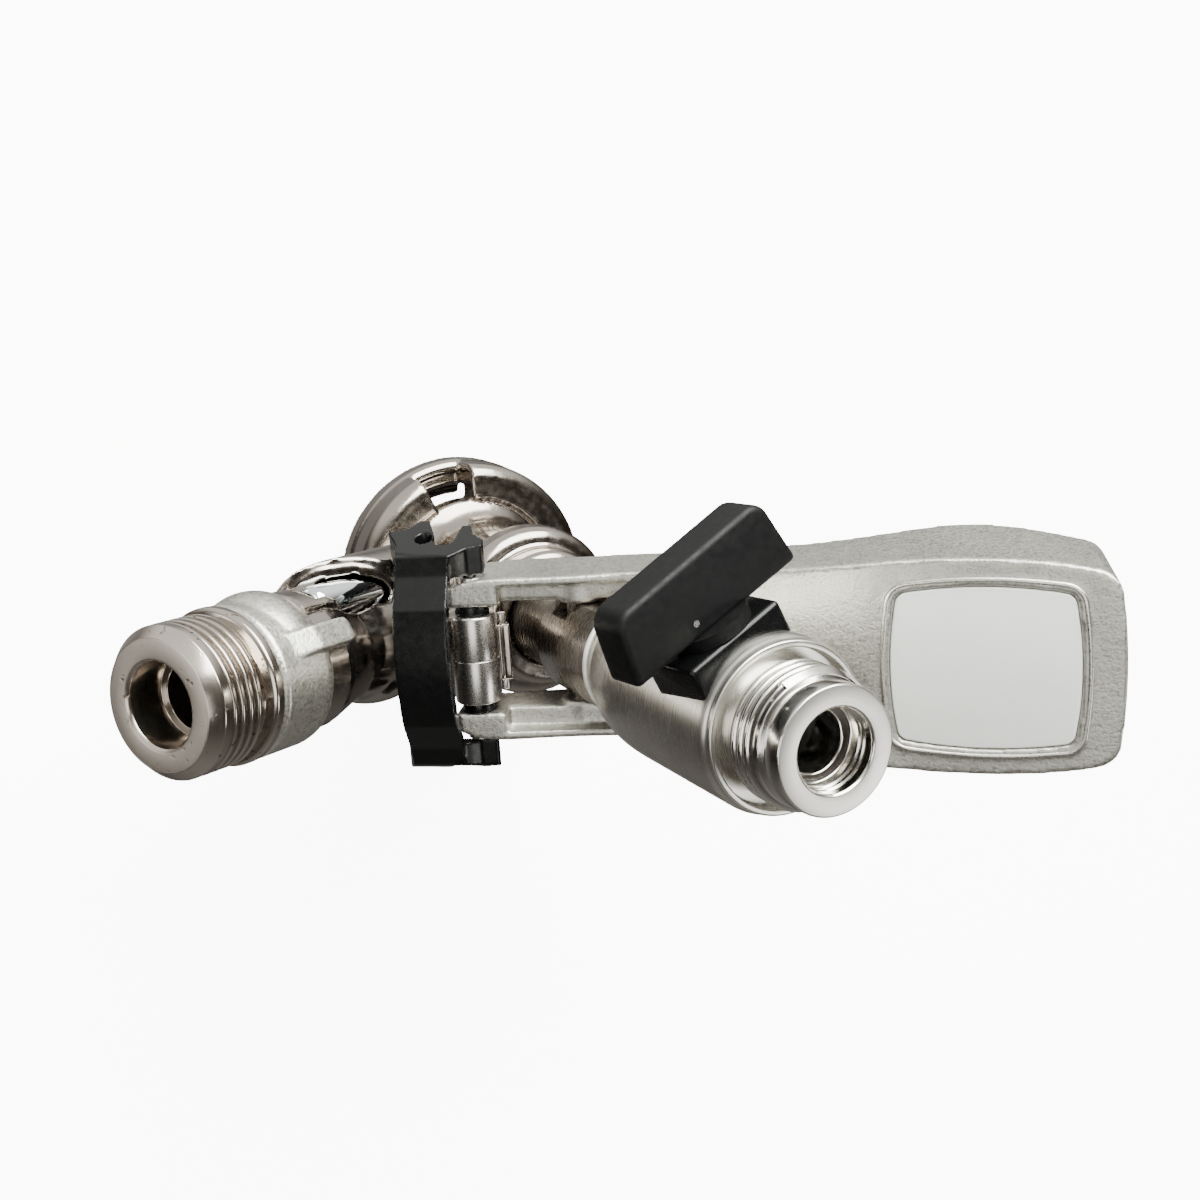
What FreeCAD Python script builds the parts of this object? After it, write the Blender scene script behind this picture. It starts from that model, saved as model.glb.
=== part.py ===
import FreeCAD, Part
import math
import os
from FreeCAD import Vector

# Lever keg coupler with a ball valve on its outlet, standing on its base as it does on a keg.
# The frame has +Z along the outlet, the hinge pin along Y, the handle towards +X and the gas
# inlet towards -X. The origin is the middle of the base's lower face. All sizes are in mm.

# Base that locks on the keg neck
BASE_R = 27.0
BASE_RIM_H = 6.0
SKIRT_R = BASE_R - 3.4
SKIRT_TOP = 10.0
NECK_BORE_R = BASE_R - 5.5
NECK_BORE_H = 8.2
LUG_REACH = 2.5
LUG_LOW = 0.8
LUG_HIGH = 3.6
LUG_START = 85.0
LUG_SWEEP = 30.0
WINDOW_START = 87.0
WINDOW_SWEEP = 26.0
SHELL_TOP = SKIRT_TOP + 4.0
SHELL_R = BASE_R - 0.3

# Upright body, whose heights follow the height where the gas branch crosses its axis
GAS_HEIGHT = 30.8
BODY_R = 14.6
SHOULDER_R = 17.5
SHOULDER_LOW = GAS_HEIGHT + 8.7
SHOULDER_TOP = SHOULDER_LOW + 7.5
HOUSING_R = 13.7
HOUSING_TOP = SHOULDER_TOP + 6.4
HEAD_ROOM_R = 9.35
HEAD_FLOOR = HOUSING_TOP - 15.4
GLAND_BOTTOM = HEAD_FLOOR - 5.4
GLAND_RING_LOW = 3.8
GLAND_RING_HIGH = 1.4
GLAND_DEPTH = 2.2
CHAMBER_R = 10.2
SEAL_SEAT_R = NECK_BORE_R - 4.5
SEAL_SEAT_TOP = 10.8
SEAL_BORE_R = SEAL_SEAT_R - 6.0
SEAL_H = 4.4

# Gas branch, with its axis through the body's axis
GAS_RISE = 31.24
GAS_TURN = 4.0
GAS_TUBE_R = 10.3
GAS_BULGE_R = 11.3
GAS_BULGE_DROP = 1.0
GAS_BULGE_AT = 44.0
GAS_BORE_R = 4.0
GAS_BORE_DROP = 2.5
GAS_BORE_AT = 16.5
GAS_WAY_R = 2.4
GAS_ROOM_R = 5.6
GAS_ROOM_AT = 66.0
GAS_FLARE_AT = 56.0
GAS_FLARE_R = 12.2
GAS_COLLAR_AT = 70.0
GAS_SPIGOT_R = 8.0
GAS_SPIGOT_END = 74.0
GAS_COLLAR_R = 13.7
GAS_COLLAR_END = 82.5
GAS_RING_R = 13.8
GAS_RING_W = 2.4
GAS_THREAD_R = 13.22
GAS_THREAD_END = 98.0
GAS_FACE_R = 11.26
GAS_CHAMFER = 1.9
GAS_MOUTH_R = 7.23
GAS_MOUTH_DEPTH = 7.6
GAS_INNER_R = 5.87
NIPPLE_SPIGOT_R = 9.2
NIPPLE_START = 75.5
RIB_W = 4.6
BUMP_R = 13.4
BUMP_START = 58.0
BUMP_SWEEP = 50.0
RIB_END = 63.6
RIB_TURN = 31.0

# Relief valve beside the gas branch
RELIEF_OFFSET = 9.3
RELIEF_BOSS_R = 7.8
RELIEF_POCKET_R = 5.8
RELIEF_POCKET_AT = 39.0
RELIEF_PASSAGE_R = 1.3
RELIEF_BOSS_START = 26.0
RELIEF_BOSS_END = 64.0
RELIEF_MOUTH_TILT = 55.0
RELIEF_MOUTH_AT = 52.0
RELIEF_FLOOR = 34.0
RELIEF_R = 3.9
RELIEF_END = 59.0
RELIEF_BORE_R = 2.9
RELIEF_STEM_R = 1.2
RELIEF_STROKE = 1.5
RELIEF_WIRE = 0.4
RELIEF_SEAT_H = 6.0
RELIEF_CAP_H = 2.8

# Handle, drawn along its arms and then turned about the hinge pin
HINGE_X = -23.0
HINGE_Z = HOUSING_TOP + 15.6
HANDLE_RISE = 35.0
ARM_OUTER_Y = 15.4
ARM_INNER_Y = 10.15
ARM_FLANGE_T = 1.6
ARM_STEP = 2.6
ARM_FRONT = 1.9
ARM_EYE_FRONT = 3.5
ARM_BACK = -10.0
ARM_END = -4.2
CROTCH_CENTRE = 44.8
GRIP_HALF = 19.0
GRIP_TIP = 114.0
GRIP_BACK = -7.0
GRIP_WALL = 3.0
FACE_START = 77.0
FACE_START_LIFT = 12.4
FACE_SLOPE = 7.8
BADGE_CENTRE = 91.1
BADGE_L = 31.6
BADGE_W = 28.4
BADGE_T = 1.0
BADGE_BULGE = 1.3
BADGE_CORNER_R = 1.4
BADGE_GAP = 0.15
BORDER_W = 1.2
BORDER_H = 0.3
DRIVE_U = 19.5
DRIVE_W = -5.0
DRIVE_BOSS_R = 4.6
DRIVE_BOSS_Y = 9.3
DRIVE_PIN_R = 1.5
DRIVE_ROLLER_R = 2.6
DRIVE_TIP_Y = 6.9

# Hinge
HINGE_PIN_R = 2.5
HINGE_SLEEVE_R = 3.85
HINGE_SLEEVE_Y = 8.4
HINGE_WASHER_R = 4.4
HINGE_PIN_Y = 15.4
EAR_HALF = 5.7
EAR_WALL = 1.2
EAR_CUT = 2.2
STOP_PIN_R = 0.9
STOP_PIN_Y = 7.4

# Plastic clip over the hinge pin's ends
CLIP_LEFT = -13.0
CLIP_RIGHT = -2.9
CLIP_FOOT = 2.3
CLIP_TOP = 9.4
CLIP_T = 2.4
CLAW_Y = 15.8
CLAW_T = 4.4
CLAW_TILT = 22.0
PEG_R = 1.2

# Probe and its drive collar
PROBE_R = 6.5
PROBE_BORE_R = 3.9
PROBE_TIP = 16.0
PROBE_SEAL_R = 9.6
PROBE_SEAL_H = 9.0
HEAD_R = 9.0
HEAD_LOW = HOUSING_TOP - 0.7
SLOT_Y = 6.6
SLOT_SLACK = 0.35
UNION_Z = HINGE_Z + 21.0
UNION_R = 11.1
UNION_T = 1.0
CHECK_BALL_R = 2.6
CHECK_BALL_Z = 24.6
CHECK_LIFT = 2.0

# Ball valve and outlet
VALVE_R = 14.6
VALVE_FLARE_END = UNION_Z + 14.0
VALVE_END = VALVE_FLARE_END + 34.7
VALVE_RIM_R = 14.05
VALVE_RECESS_R = 12.9
VALVE_RECESS_DEPTH = 2.2
STEM_Z = VALVE_END - 10.0
STEM_TURN = 25.0
BALL_R = 6.0
BALL_BORE_R = 3.2
STEM_R = 3.0
STEM_SQUARE = 3.8
STEM_RING_LOW = 11.2
STEM_RING_HIGH = 13.0
BONNET_R = 8.6
BONNET_ROOT = 8.0
BONNET_TOP = 15.0
OUTLET_END = VALVE_END + 12.7
OUTLET_THREAD_R = 11.455
OUTLET_THREAD_END = VALVE_END + 7.7
OUTLET_RING_R = 10.26
OUTLET_RING_W = 3.7
OUTLET_GROOVE_R = 9.5
OUTLET_BORE_R = 6.6
OUTLET_BORE_DEPTH = 5.0
OUTLET_CHANNEL_R = 3.2

# Wing lever
LEVER_BASE_LOW = 15.3
LEVER_BASE_TOP = 19.4
LEVER_BASE_L = 20.0
LEVER_BASE_W = 17.0
LEVER_TOP = 31.0
LEVER_L = 36.6
LEVER_TOP_L = 32.0
LEVER_T = 8.4
LEVER_PIN_R = 0.9
LEVER_PIN_X = -4.2

# Clearances
RUNNING = 0.05
SEATED = 0.02
FREE = 0.3

ORIGIN = Vector(0, 0, 0)
UP = Vector(0, 0, 1)


def flat_point(pair, plane):
    """A point of an outline, in the plane named by two letters."""
    place = dict(zip(plane, pair))
    return Vector(place.get("x", 0), place.get("y", 0), place.get("z", 0))


def outline(items, plane="xz"):
    """A closed wire of straight runs, with an arc where an item holds a middle and an end."""
    start = flat_point(items[0], plane)
    here = start
    edges = []
    for item in items[1:]:
        end = flat_point(item[-2:], plane)
        if len(item) == 4:
            edges.append(Part.Arc(here, flat_point(item[:2], plane), end).toShape())
        else:
            edges.append(Part.makeLine(here, end))
        here = end
    if here.distanceToPoint(start) > 1e-6:
        edges.append(Part.makeLine(here, start))
    return Part.Wire(edges)


def turned(items, sweep=360.0):
    """A solid of revolution about Z from an outline of (radius, height) items."""
    return Part.Face(outline(items)).revolve(ORIGIN, UP, sweep)


def rod(radius, low, high):
    return Part.makeCylinder(radius, high - low, Vector(0, 0, low))


def tube(outer, inner, low, high):
    return rod(outer, low, high).cut(rod(inner, low, high))


def cross_rod(radius, x, z, low_y, high_y):
    """A rod along Y."""
    return Part.makeCylinder(radius, high_y - low_y, Vector(x, low_y, z), Vector(0, 1, 0))


def side_slab(items, low_y, high_y):
    """An outline in XZ, extruded along Y."""
    face = Part.Face(outline(items))
    face.translate(Vector(0, low_y, 0))
    return face.extrude(Vector(0, high_y - low_y, 0))


def plan_slab(items, low_z, high_z):
    """An outline in XY, extruded along Z."""
    face = Part.Face(outline(items, "xy"))
    face.translate(Vector(0, 0, low_z))
    return face.extrude(Vector(0, 0, high_z - low_z))


def o_ring(mean_r, wire_r, z):
    return Part.makeTorus(mean_r, wire_r, Vector(0, 0, z))


def joined(shapes):
    """Solids fused into one, with their seams cleaned."""
    return shapes[0].multiFuse(shapes[1:]).removeSplitter()


def group(shapes):
    return Part.makeCompound(shapes)


def mirrored_y(shape):
    return shape.mirror(ORIGIN, Vector(0, 1, 0))


def framed(shape, x_axis, y_axis, z_axis, origin):
    """A shape carried from its own drawing frame to its place on the coupler."""
    place = FreeCAD.Matrix(
        x_axis.x, y_axis.x, z_axis.x, origin.x,
        x_axis.y, y_axis.y, z_axis.y, origin.y,
        x_axis.z, y_axis.z, z_axis.z, origin.z,
        0, 0, 0, 1)
    moved = shape.copy()
    moved.Placement = FreeCAD.Placement(place).multiply(moved.Placement)
    return moved


def gas_direction():
    rise = math.radians(GAS_RISE)
    turn = math.radians(GAS_TURN)
    return Vector(-math.cos(rise) * math.cos(turn), math.cos(rise) * math.sin(turn), math.sin(rise))


def on_gas_axis(shape):
    """From a frame with Z along the gas branch and Y sideways, near the coupler's Y."""
    along = gas_direction()
    side = (Vector(0, 1, 0) - along * along.y).normalize()
    return framed(shape, side.cross(along), side, along, Vector(0, 0, GAS_HEIGHT))


def on_handle(shape):
    """From a frame with X along the arms and Z out of the handle's face."""
    moved = shape.copy()
    moved.rotate(ORIGIN, Vector(0, 1, 0), -HANDLE_RISE)
    moved.translate(Vector(HINGE_X, 0, HINGE_Z))
    return moved


def on_stem(shape):
    """From a frame with Z along the valve's stem and X along the closed wing lever."""
    turn = math.radians(STEM_TURN)
    stem = Vector(-math.sin(turn), math.cos(turn), 0)
    wing = Vector(math.cos(turn), math.sin(turn), 0)
    return framed(shape, wing, stem.cross(wing), stem, Vector(0, 0, STEM_Z))


def sector(items, start, sweep):
    """A profile swept about Z from one azimuth, at both sides of the body."""
    piece = turned(items, sweep)
    piece.rotate(ORIGIN, UP, start)
    other = piece.copy()
    other.rotate(ORIGIN, UP, 180)
    return [piece, other]


def body_outside():
    """The outer form of the base, neck and shoulder."""
    return turned([
        (0, 0), (BASE_R - 0.6, 0), (BASE_R, 0.6), (BASE_R, BASE_RIM_H - 2.2),
        (BASE_R - 0.5, BASE_RIM_H - 0.6, BASE_R - 1.8, BASE_RIM_H),
        (SKIRT_R + 0.9, BASE_RIM_H), (SKIRT_R, BASE_RIM_H - 0.8),
        (SKIRT_R, SKIRT_TOP - 2.0), (SKIRT_R - 0.7, SKIRT_TOP - 0.6, SKIRT_R - 2.2, SKIRT_TOP),
        (SKIRT_R - 3.4, SKIRT_TOP + 0.6), (SKIRT_R - 4.2, SKIRT_TOP + 3.0),
        (BODY_R + 1.6, SKIRT_TOP + 5.2, BODY_R, SKIRT_TOP + 10.5),
        (BODY_R, SHOULDER_LOW - 4.5),
        (BODY_R + 0.9, SHOULDER_LOW - 1.6, SHOULDER_R - 0.6, SHOULDER_LOW),
        (SHOULDER_R, SHOULDER_LOW + 1.6), (SHOULDER_R, SHOULDER_TOP - 2.6),
        (SHOULDER_R - 0.8, SHOULDER_TOP - 0.8, SHOULDER_R - 2.8, SHOULDER_TOP),
        (HOUSING_R + 0.6, SHOULDER_TOP), (HOUSING_R, SHOULDER_TOP + 0.6),
        (HOUSING_R, HOUSING_TOP - 1.6), (HOUSING_R - 0.5, HOUSING_TOP - 0.5, HOUSING_R - 1.6, HOUSING_TOP),
        (0, HOUSING_TOP)])


def base_shells():
    """The two raised shells over the bayonet tracks."""
    low = BASE_RIM_H - 1.5
    return sector([
        (NECK_BORE_R, low), (SHELL_R, low), (SHELL_R, SHELL_TOP - 3.6),
        (SHELL_R - 0.9, SHELL_TOP - 1.0, SHELL_R - 3.4, SHELL_TOP),
        (SKIRT_R - 4.6, SHELL_TOP + 0.6), (SKIRT_R - 4.6, SKIRT_TOP)],
        WINDOW_START + WINDOW_SWEEP, 180 - WINDOW_SWEEP)


def base_lugs():
    """The two inward lugs that lock under the keg's neck."""
    inner = NECK_BORE_R - LUG_REACH
    return sector([
        (NECK_BORE_R + 0.4, LUG_LOW), (inner, LUG_LOW), (inner, LUG_HIGH - 0.8),
        (inner + 0.8, LUG_HIGH), (NECK_BORE_R + 0.4, LUG_HIGH)], LUG_START, LUG_SWEEP)


def base_windows():
    """The openings over the lugs, through the skirt's top."""
    low = LUG_HIGH + 1.4
    return sector([
        (NECK_BORE_R - 2.6, low), (SKIRT_R + 0.8, low), (SKIRT_R + 0.8, SHELL_TOP + 8),
        (NECK_BORE_R - 2.6, SHELL_TOP + 8)], WINDOW_START, WINDOW_SWEEP)


def gas_branch():
    """The polished branch with its round chamber and one bump, up to the collar's seat."""
    half = 9.0
    chamber = turned([
        (0, GAS_BULGE_AT - half), (GAS_BULGE_R - 2.6, GAS_BULGE_AT - half),
        (GAS_BULGE_R, GAS_BULGE_AT, GAS_BULGE_R - 2.6, GAS_BULGE_AT + half), (0, GAS_BULGE_AT + half)])
    chamber.translate(Vector(-GAS_BULGE_DROP, -GAS_BULGE_DROP, 0))
    stem = turned([
        (0, 4.0), (GAS_TUBE_R - 0.4, 4.0), (GAS_TUBE_R, 30.0), (GAS_TUBE_R, GAS_FLARE_AT - 6.0),
        (GAS_TUBE_R - 0.5, GAS_FLARE_AT - 0.5), (GAS_TUBE_R + 0.4, GAS_FLARE_AT + 3.0),
        (GAS_FLARE_R - 0.1, GAS_FLARE_AT + 8.0), (GAS_FLARE_R, GAS_COLLAR_AT), (GAS_SPIGOT_R, GAS_COLLAR_AT),
        (GAS_SPIGOT_R, GAS_SPIGOT_END - 0.6), (GAS_SPIGOT_R - 0.6, GAS_SPIGOT_END), (0, GAS_SPIGOT_END)])
    bump = turned([
        (0, GAS_FLARE_AT + 2.0), (GAS_FLARE_R - 3.0, GAS_FLARE_AT + 2.0),
        (BUMP_R - 0.8, GAS_FLARE_AT + 4.4, BUMP_R, GAS_FLARE_AT + 8.0), (BUMP_R, GAS_COLLAR_AT),
        (0, GAS_COLLAR_AT)])
    wedge = Part.makeCylinder(BUMP_R + 5, 40, Vector(0, 0, GAS_FLARE_AT - 10), UP, BUMP_SWEEP)
    wedge.rotate(ORIGIN, UP, BUMP_START)
    return joined([chamber, stem, bump.common(wedge)])


def relief_mouth(shape):
    """A shape of the gas frame, trimmed by the boss's slanted mouth."""
    size = 60.0
    knife = Part.makeBox(size, size, size, Vector(-size / 2, -size / 2, 0))
    knife.rotate(ORIGIN, Vector(0, 1, 0), RELIEF_MOUTH_TILT)
    knife.translate(Vector(0, RELIEF_OFFSET, RELIEF_MOUTH_AT))
    return shape.cut(knife)


def relief_boss():
    boss = turned([
        (0, RELIEF_BOSS_START), (RELIEF_BOSS_R - 2.4, RELIEF_BOSS_START),
        (RELIEF_BOSS_R - 0.6, RELIEF_BOSS_START + 1.0, RELIEF_BOSS_R, RELIEF_BOSS_START + 4.0),
        (RELIEF_BOSS_R, RELIEF_BOSS_END), (0, RELIEF_BOSS_END)])
    boss.translate(Vector(0, RELIEF_OFFSET, 0))
    return relief_mouth(boss)


def relief_pocket():
    """The open pocket, the housing's hole below it and the passage to the gas bore."""
    pocket = rod(RELIEF_POCKET_R, RELIEF_POCKET_AT, RELIEF_BOSS_END + 1)
    hole = rod(RELIEF_R + 0.5, RELIEF_FLOOR, RELIEF_BOSS_END)
    passage = rod(RELIEF_PASSAGE_R, RELIEF_FLOOR - 3.0, RELIEF_FLOOR + 1)
    low = RELIEF_OFFSET + GAS_BORE_DROP
    cross = cross_rod(RELIEF_PASSAGE_R, 0, RELIEF_FLOOR - 3.0 + RELIEF_PASSAGE_R, -low, 0)
    holes = joined([pocket, hole, passage, cross])
    holes.translate(Vector(0, RELIEF_OFFSET, 0))
    return holes


def gas_passage():
    """The bore from the lip valve's room, and the hole drilled from its end down to the chamber."""
    bore = rod(GAS_BORE_R, GAS_BORE_AT, GAS_ROOM_AT + 1)
    bore.translate(Vector(0, -GAS_BORE_DROP, 0))
    bore = on_gas_axis(bore.fuse(rod(GAS_ROOM_R, GAS_ROOM_AT, GAS_SPIGOT_END + 1)))
    start = Vector(-BODY_R - 0.4, -GAS_BORE_DROP, GLAND_BOTTOM + 6.6)
    end = Vector(-CHAMBER_R + 1.4, -GAS_BORE_DROP, GLAND_BOTTOM - 4.0)
    way = end - start
    return bore.fuse(Part.makeCylinder(GAS_WAY_R, way.Length, start, way))


def ear_outside():
    """The cast ear that carries the hinge sleeves, drawn from the shoulder up."""
    reach = HINGE_SLEEVE_R + EAR_WALL
    profile = [
        (-BODY_R + 4, SHOULDER_LOW - 2), (-BODY_R + 4, SHOULDER_TOP + 1.0),
        (-HOUSING_R + 2.5, HOUSING_TOP - 0.4), (HINGE_X + reach + 1.9, HINGE_Z - 6.0),
        (HINGE_X + reach + 1.9, HINGE_Z + 1.4), (HINGE_X - reach * 0.6, HINGE_Z - reach * 0.8),
        (HINGE_X - reach * 0.2, HINGE_Z - 10.5), (-SHOULDER_R - 1.0, SHOULDER_TOP - 1.0),
        (-SHOULDER_R, SHOULDER_LOW + 1.0)]
    web = side_slab(profile, -EAR_HALF, EAR_HALF)
    saddle = cross_rod(reach, HINGE_X, HINGE_Z, -EAR_HALF, EAR_HALF)
    front = Part.makeBox(40, 40, 40, Vector(-20, -20, -EAR_CUT))
    front.rotate(ORIGIN, Vector(0, 1, 0), -HANDLE_RISE)
    front.translate(Vector(HINGE_X, 0, HINGE_Z))
    return web.fuse(saddle).cut(front)


def stop_pin_place():
    lean = math.radians(HANDLE_RISE)
    along, back = HINGE_SLEEVE_R + 0.75, -EAR_CUT - 1.4
    x = HINGE_X + along * math.cos(lean) - back * math.sin(lean)
    z = HINGE_Z + along * math.sin(lean) + back * math.cos(lean)
    return x, z


def body_casting():
    """The stainless body: base, neck, shoulder, gas branch, relief boss and hinge ear."""
    solid = joined([body_outside(), on_gas_axis(gas_branch()), on_gas_axis(relief_boss()), ear_outside()]
                   + base_shells())
    neck = rod(NECK_BORE_R, -1, NECK_BORE_H)
    for lug in base_lugs():
        neck = neck.cut(lug)
    bores = [
        neck, rod(SEAL_SEAT_R, 0, SEAL_SEAT_TOP),
        rod(CHAMBER_R, 0, GLAND_BOTTOM), rod(PROBE_R + RUNNING, 0, HOUSING_TOP + 1),
        rod(HEAD_ROOM_R, HEAD_FLOOR, HOUSING_TOP + 1),
        tube(PROBE_R + GLAND_DEPTH, PROBE_R - 1, HEAD_FLOOR - GLAND_RING_LOW, HEAD_FLOOR - GLAND_RING_HIGH),
        gas_passage(), on_gas_axis(relief_pocket()),
        cross_rod(HINGE_SLEEVE_R, HINGE_X, HINGE_Z, -EAR_HALF - 1, EAR_HALF + 1)]
    bores += base_windows()
    x, z = stop_pin_place()
    bores.append(cross_rod(STOP_PIN_R, x, z, -EAR_HALF - 1, EAR_HALF + 1))
    for bore in bores:
        solid = solid.cut(bore)
    return solid


def base_seal():
    """The rubber ring that presses on the keg's valve."""
    top = SEAL_SEAT_TOP
    return turned([
        (SEAL_BORE_R, top), (SEAL_BORE_R, top - SEAL_H + 1.0), (SEAL_BORE_R + 1.2, top - SEAL_H),
        (SEAL_SEAT_R - 2.2, top - SEAL_H), (SEAL_SEAT_R - 1.2, top - SEAL_H + 1.4),
        (SEAL_SEAT_R - SEATED, top - SEAL_H + 2.0),
        (SEAL_SEAT_R - SEATED, top)])


def gland_seal():
    """The two rubber rings that seal the sliding probe."""
    low = HEAD_FLOOR - GLAND_RING_LOW
    high = HEAD_FLOOR - GLAND_RING_HIGH
    outer = PROBE_R + GLAND_DEPTH - SEATED
    inner = PROBE_R + RUNNING
    middle = (low + high) / 2
    return group([tube(outer, inner, low, middle - SEATED), tube(outer, inner, middle + SEATED, high)])


def stop_pin():
    x, z = stop_pin_place()
    return cross_rod(STOP_PIN_R, x, z, -STOP_PIN_Y, STOP_PIN_Y)


def hinge_sleeves():
    """Two turned sleeves in the ear's saddle, meeting at the middle."""
    sleeves = []
    for sign in (-1, 1):
        sleeve = turned([
            (HINGE_PIN_R + RUNNING, SEATED), (HINGE_SLEEVE_R, SEATED),
            (HINGE_SLEEVE_R, HINGE_SLEEVE_Y - 0.7), (HINGE_SLEEVE_R - 0.4, HINGE_SLEEVE_Y),
            (HINGE_PIN_R + RUNNING, HINGE_SLEEVE_Y)])
        sleeve.rotate(ORIGIN, Vector(1, 0, 0), -90 * sign)
        sleeve.translate(Vector(HINGE_X, 0, HINGE_Z))
        sleeves.append(sleeve)
    return group(sleeves)


def hinge_washers():
    """Plain washers between the sleeves and the arms."""
    washers = []
    for sign in (-1, 1):
        near = sign * (HINGE_SLEEVE_Y + RUNNING)
        far = sign * (ARM_INNER_Y - RUNNING)
        low, high = min(near, far), max(near, far)
        disc = cross_rod(HINGE_WASHER_R - 1.2, HINGE_X, HINGE_Z, low, high)
        washers.append(disc.cut(cross_rod(HINGE_PIN_R + SEATED, HINGE_X, HINGE_Z, low, high)))
    return group(washers)


def gas_collar():
    """The sand-blasted cast collar: a ring with one swelling and a long rib over the branch's flare."""
    start, end = GAS_COLLAR_AT, GAS_COLLAR_END
    shell = turned([
        (0, start), (GAS_COLLAR_R - 1.0, start), (GAS_COLLAR_R - 0.3, start + 0.5),
        (GAS_COLLAR_R, start + 2.0), (GAS_COLLAR_R, end - 0.8), (GAS_COLLAR_R - 0.8, end), (0, end)])
    lobe = turned([
        (0, start + 0.2), (GAS_COLLAR_R - 2.4, start + 0.2),
        (GAS_COLLAR_R - 1.2, start + 3.2, GAS_COLLAR_R - 2.4, end - 3.0), (0, end - 3.0)])
    lobe.translate(Vector(0, 2.2, 0))
    rib_top = GAS_COLLAR_R + 1.2
    under = GAS_FLARE_R + SEATED
    rib = side_slab([
        (under, RIB_END), (rib_top - 1.8, RIB_END), (rib_top - 0.4, RIB_END + 0.5, rib_top, RIB_END + 2.0),
        (rib_top, start + 3.0), (GAS_COLLAR_R - 0.6, end - 1.4), (GAS_SPIGOT_R + 2, end - 1.4),
        (GAS_SPIGOT_R + 2, start + 0.1), (under, start + 0.1)], -RIB_W / 2, RIB_W / 2)
    nose = Part.makeCylinder(RIB_W / 2, 20, Vector(0, 0, RIB_END + RIB_W / 2), Vector(1, 0, 0))
    straight = Part.makeBox(20, RIB_W, 30, Vector(0, -RIB_W / 2, RIB_END + RIB_W / 2))
    rib = rib.common(nose.fuse(straight))
    rib.rotate(ORIGIN, UP, RIB_TURN)
    solid = joined([shell, lobe, rib])
    solid = solid.cut(rod(GAS_SPIGOT_R, start - 1, NIPPLE_START))
    return on_gas_axis(solid.cut(rod(NIPPLE_SPIGOT_R, NIPPLE_START, end + 1)))


def gas_nipple():
    """The turned inlet nipple, with the thread at its full diameter."""
    ring_end = GAS_COLLAR_END + GAS_RING_W
    end = GAS_THREAD_END
    step = end - GAS_MOUTH_DEPTH
    return on_gas_axis(turned([
        (GAS_INNER_R, NIPPLE_START), (NIPPLE_SPIGOT_R - 0.4, NIPPLE_START),
        (NIPPLE_SPIGOT_R, NIPPLE_START + 0.4), (NIPPLE_SPIGOT_R, GAS_COLLAR_END),
        (GAS_RING_R, GAS_COLLAR_END), (GAS_RING_R, ring_end - 0.3), (GAS_RING_R - 0.3, ring_end),
        (GAS_THREAD_R, ring_end), (GAS_THREAD_R, end - GAS_CHAMFER), (GAS_FACE_R, end),
        (GAS_MOUTH_R + 0.3, end), (GAS_MOUTH_R, end - 0.3), (GAS_MOUTH_R, step), (GAS_INNER_R, step)]))


def gas_lip_valve():
    """The rubber lip valve that lets gas in and nothing back, between spigot and nipple."""
    low = GAS_SPIGOT_END + SEATED
    high = NIPPLE_START - SEATED
    outer = GAS_SPIGOT_R - SEATED
    return on_gas_axis(turned([
        (0.5, low - 4.0), (1.2, low - 4.6), (GAS_ROOM_R - FREE, low - 0.6), (GAS_ROOM_R - FREE, low),
        (outer, low), (outer, high), (3.4, high), (0.5, low - 2.4)]))


def relief_housing():
    """The bright turned housing of the relief valve."""
    floor, end = RELIEF_FLOOR, RELIEF_END
    wide = RELIEF_R + 0.5 - SEATED
    housing = turned([
        (RELIEF_STEM_R + 0.8, floor), (wide, floor), (wide, floor + 6.0), (RELIEF_R, floor + 6.4),
        (RELIEF_R, end - 2.0), (RELIEF_R - 0.6, end - 1.2), (RELIEF_R - 0.6, end),
        (RELIEF_STEM_R + FREE, end), (RELIEF_STEM_R + FREE, end - 2.0), (RELIEF_BORE_R, end - 2.0),
        (RELIEF_BORE_R, floor + 2.0), (RELIEF_STEM_R + 0.8, floor + 2.0)])
    housing.translate(Vector(0, RELIEF_OFFSET, 0))
    return on_gas_axis(housing)


def relief_poppet():
    """The spring-loaded poppet, with its stem through the housing's end."""
    seat = RELIEF_FLOOR + 2.0 + SEATED
    poppet = turned([
        (0, seat), (RELIEF_BORE_R - 0.2, seat), (RELIEF_BORE_R - 0.2, seat + 2.4),
        (RELIEF_STEM_R, seat + 3.0), (RELIEF_STEM_R, RELIEF_END + 0.6),
        (RELIEF_STEM_R - 0.4, RELIEF_END + 1.0), (0, RELIEF_END + 1.0)])
    poppet.translate(Vector(0, RELIEF_OFFSET, 0))
    return on_gas_axis(poppet)


def relief_spring():
    """The closing spring, drawn as its turns of wire in planes across the stem."""
    low = RELIEF_FLOOR + RELIEF_SEAT_H + RELIEF_STROKE
    high = RELIEF_END - RELIEF_CAP_H
    turns = 8
    mean = (RELIEF_BORE_R + RELIEF_STEM_R) / 2
    pitch = (high - low) / (turns - 1)
    rings = [o_ring(mean, RELIEF_WIRE, low + pitch * index) for index in range(turns)]
    spring = group(rings)
    spring.translate(Vector(0, RELIEF_OFFSET, 0))
    return on_gas_axis(spring)


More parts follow.
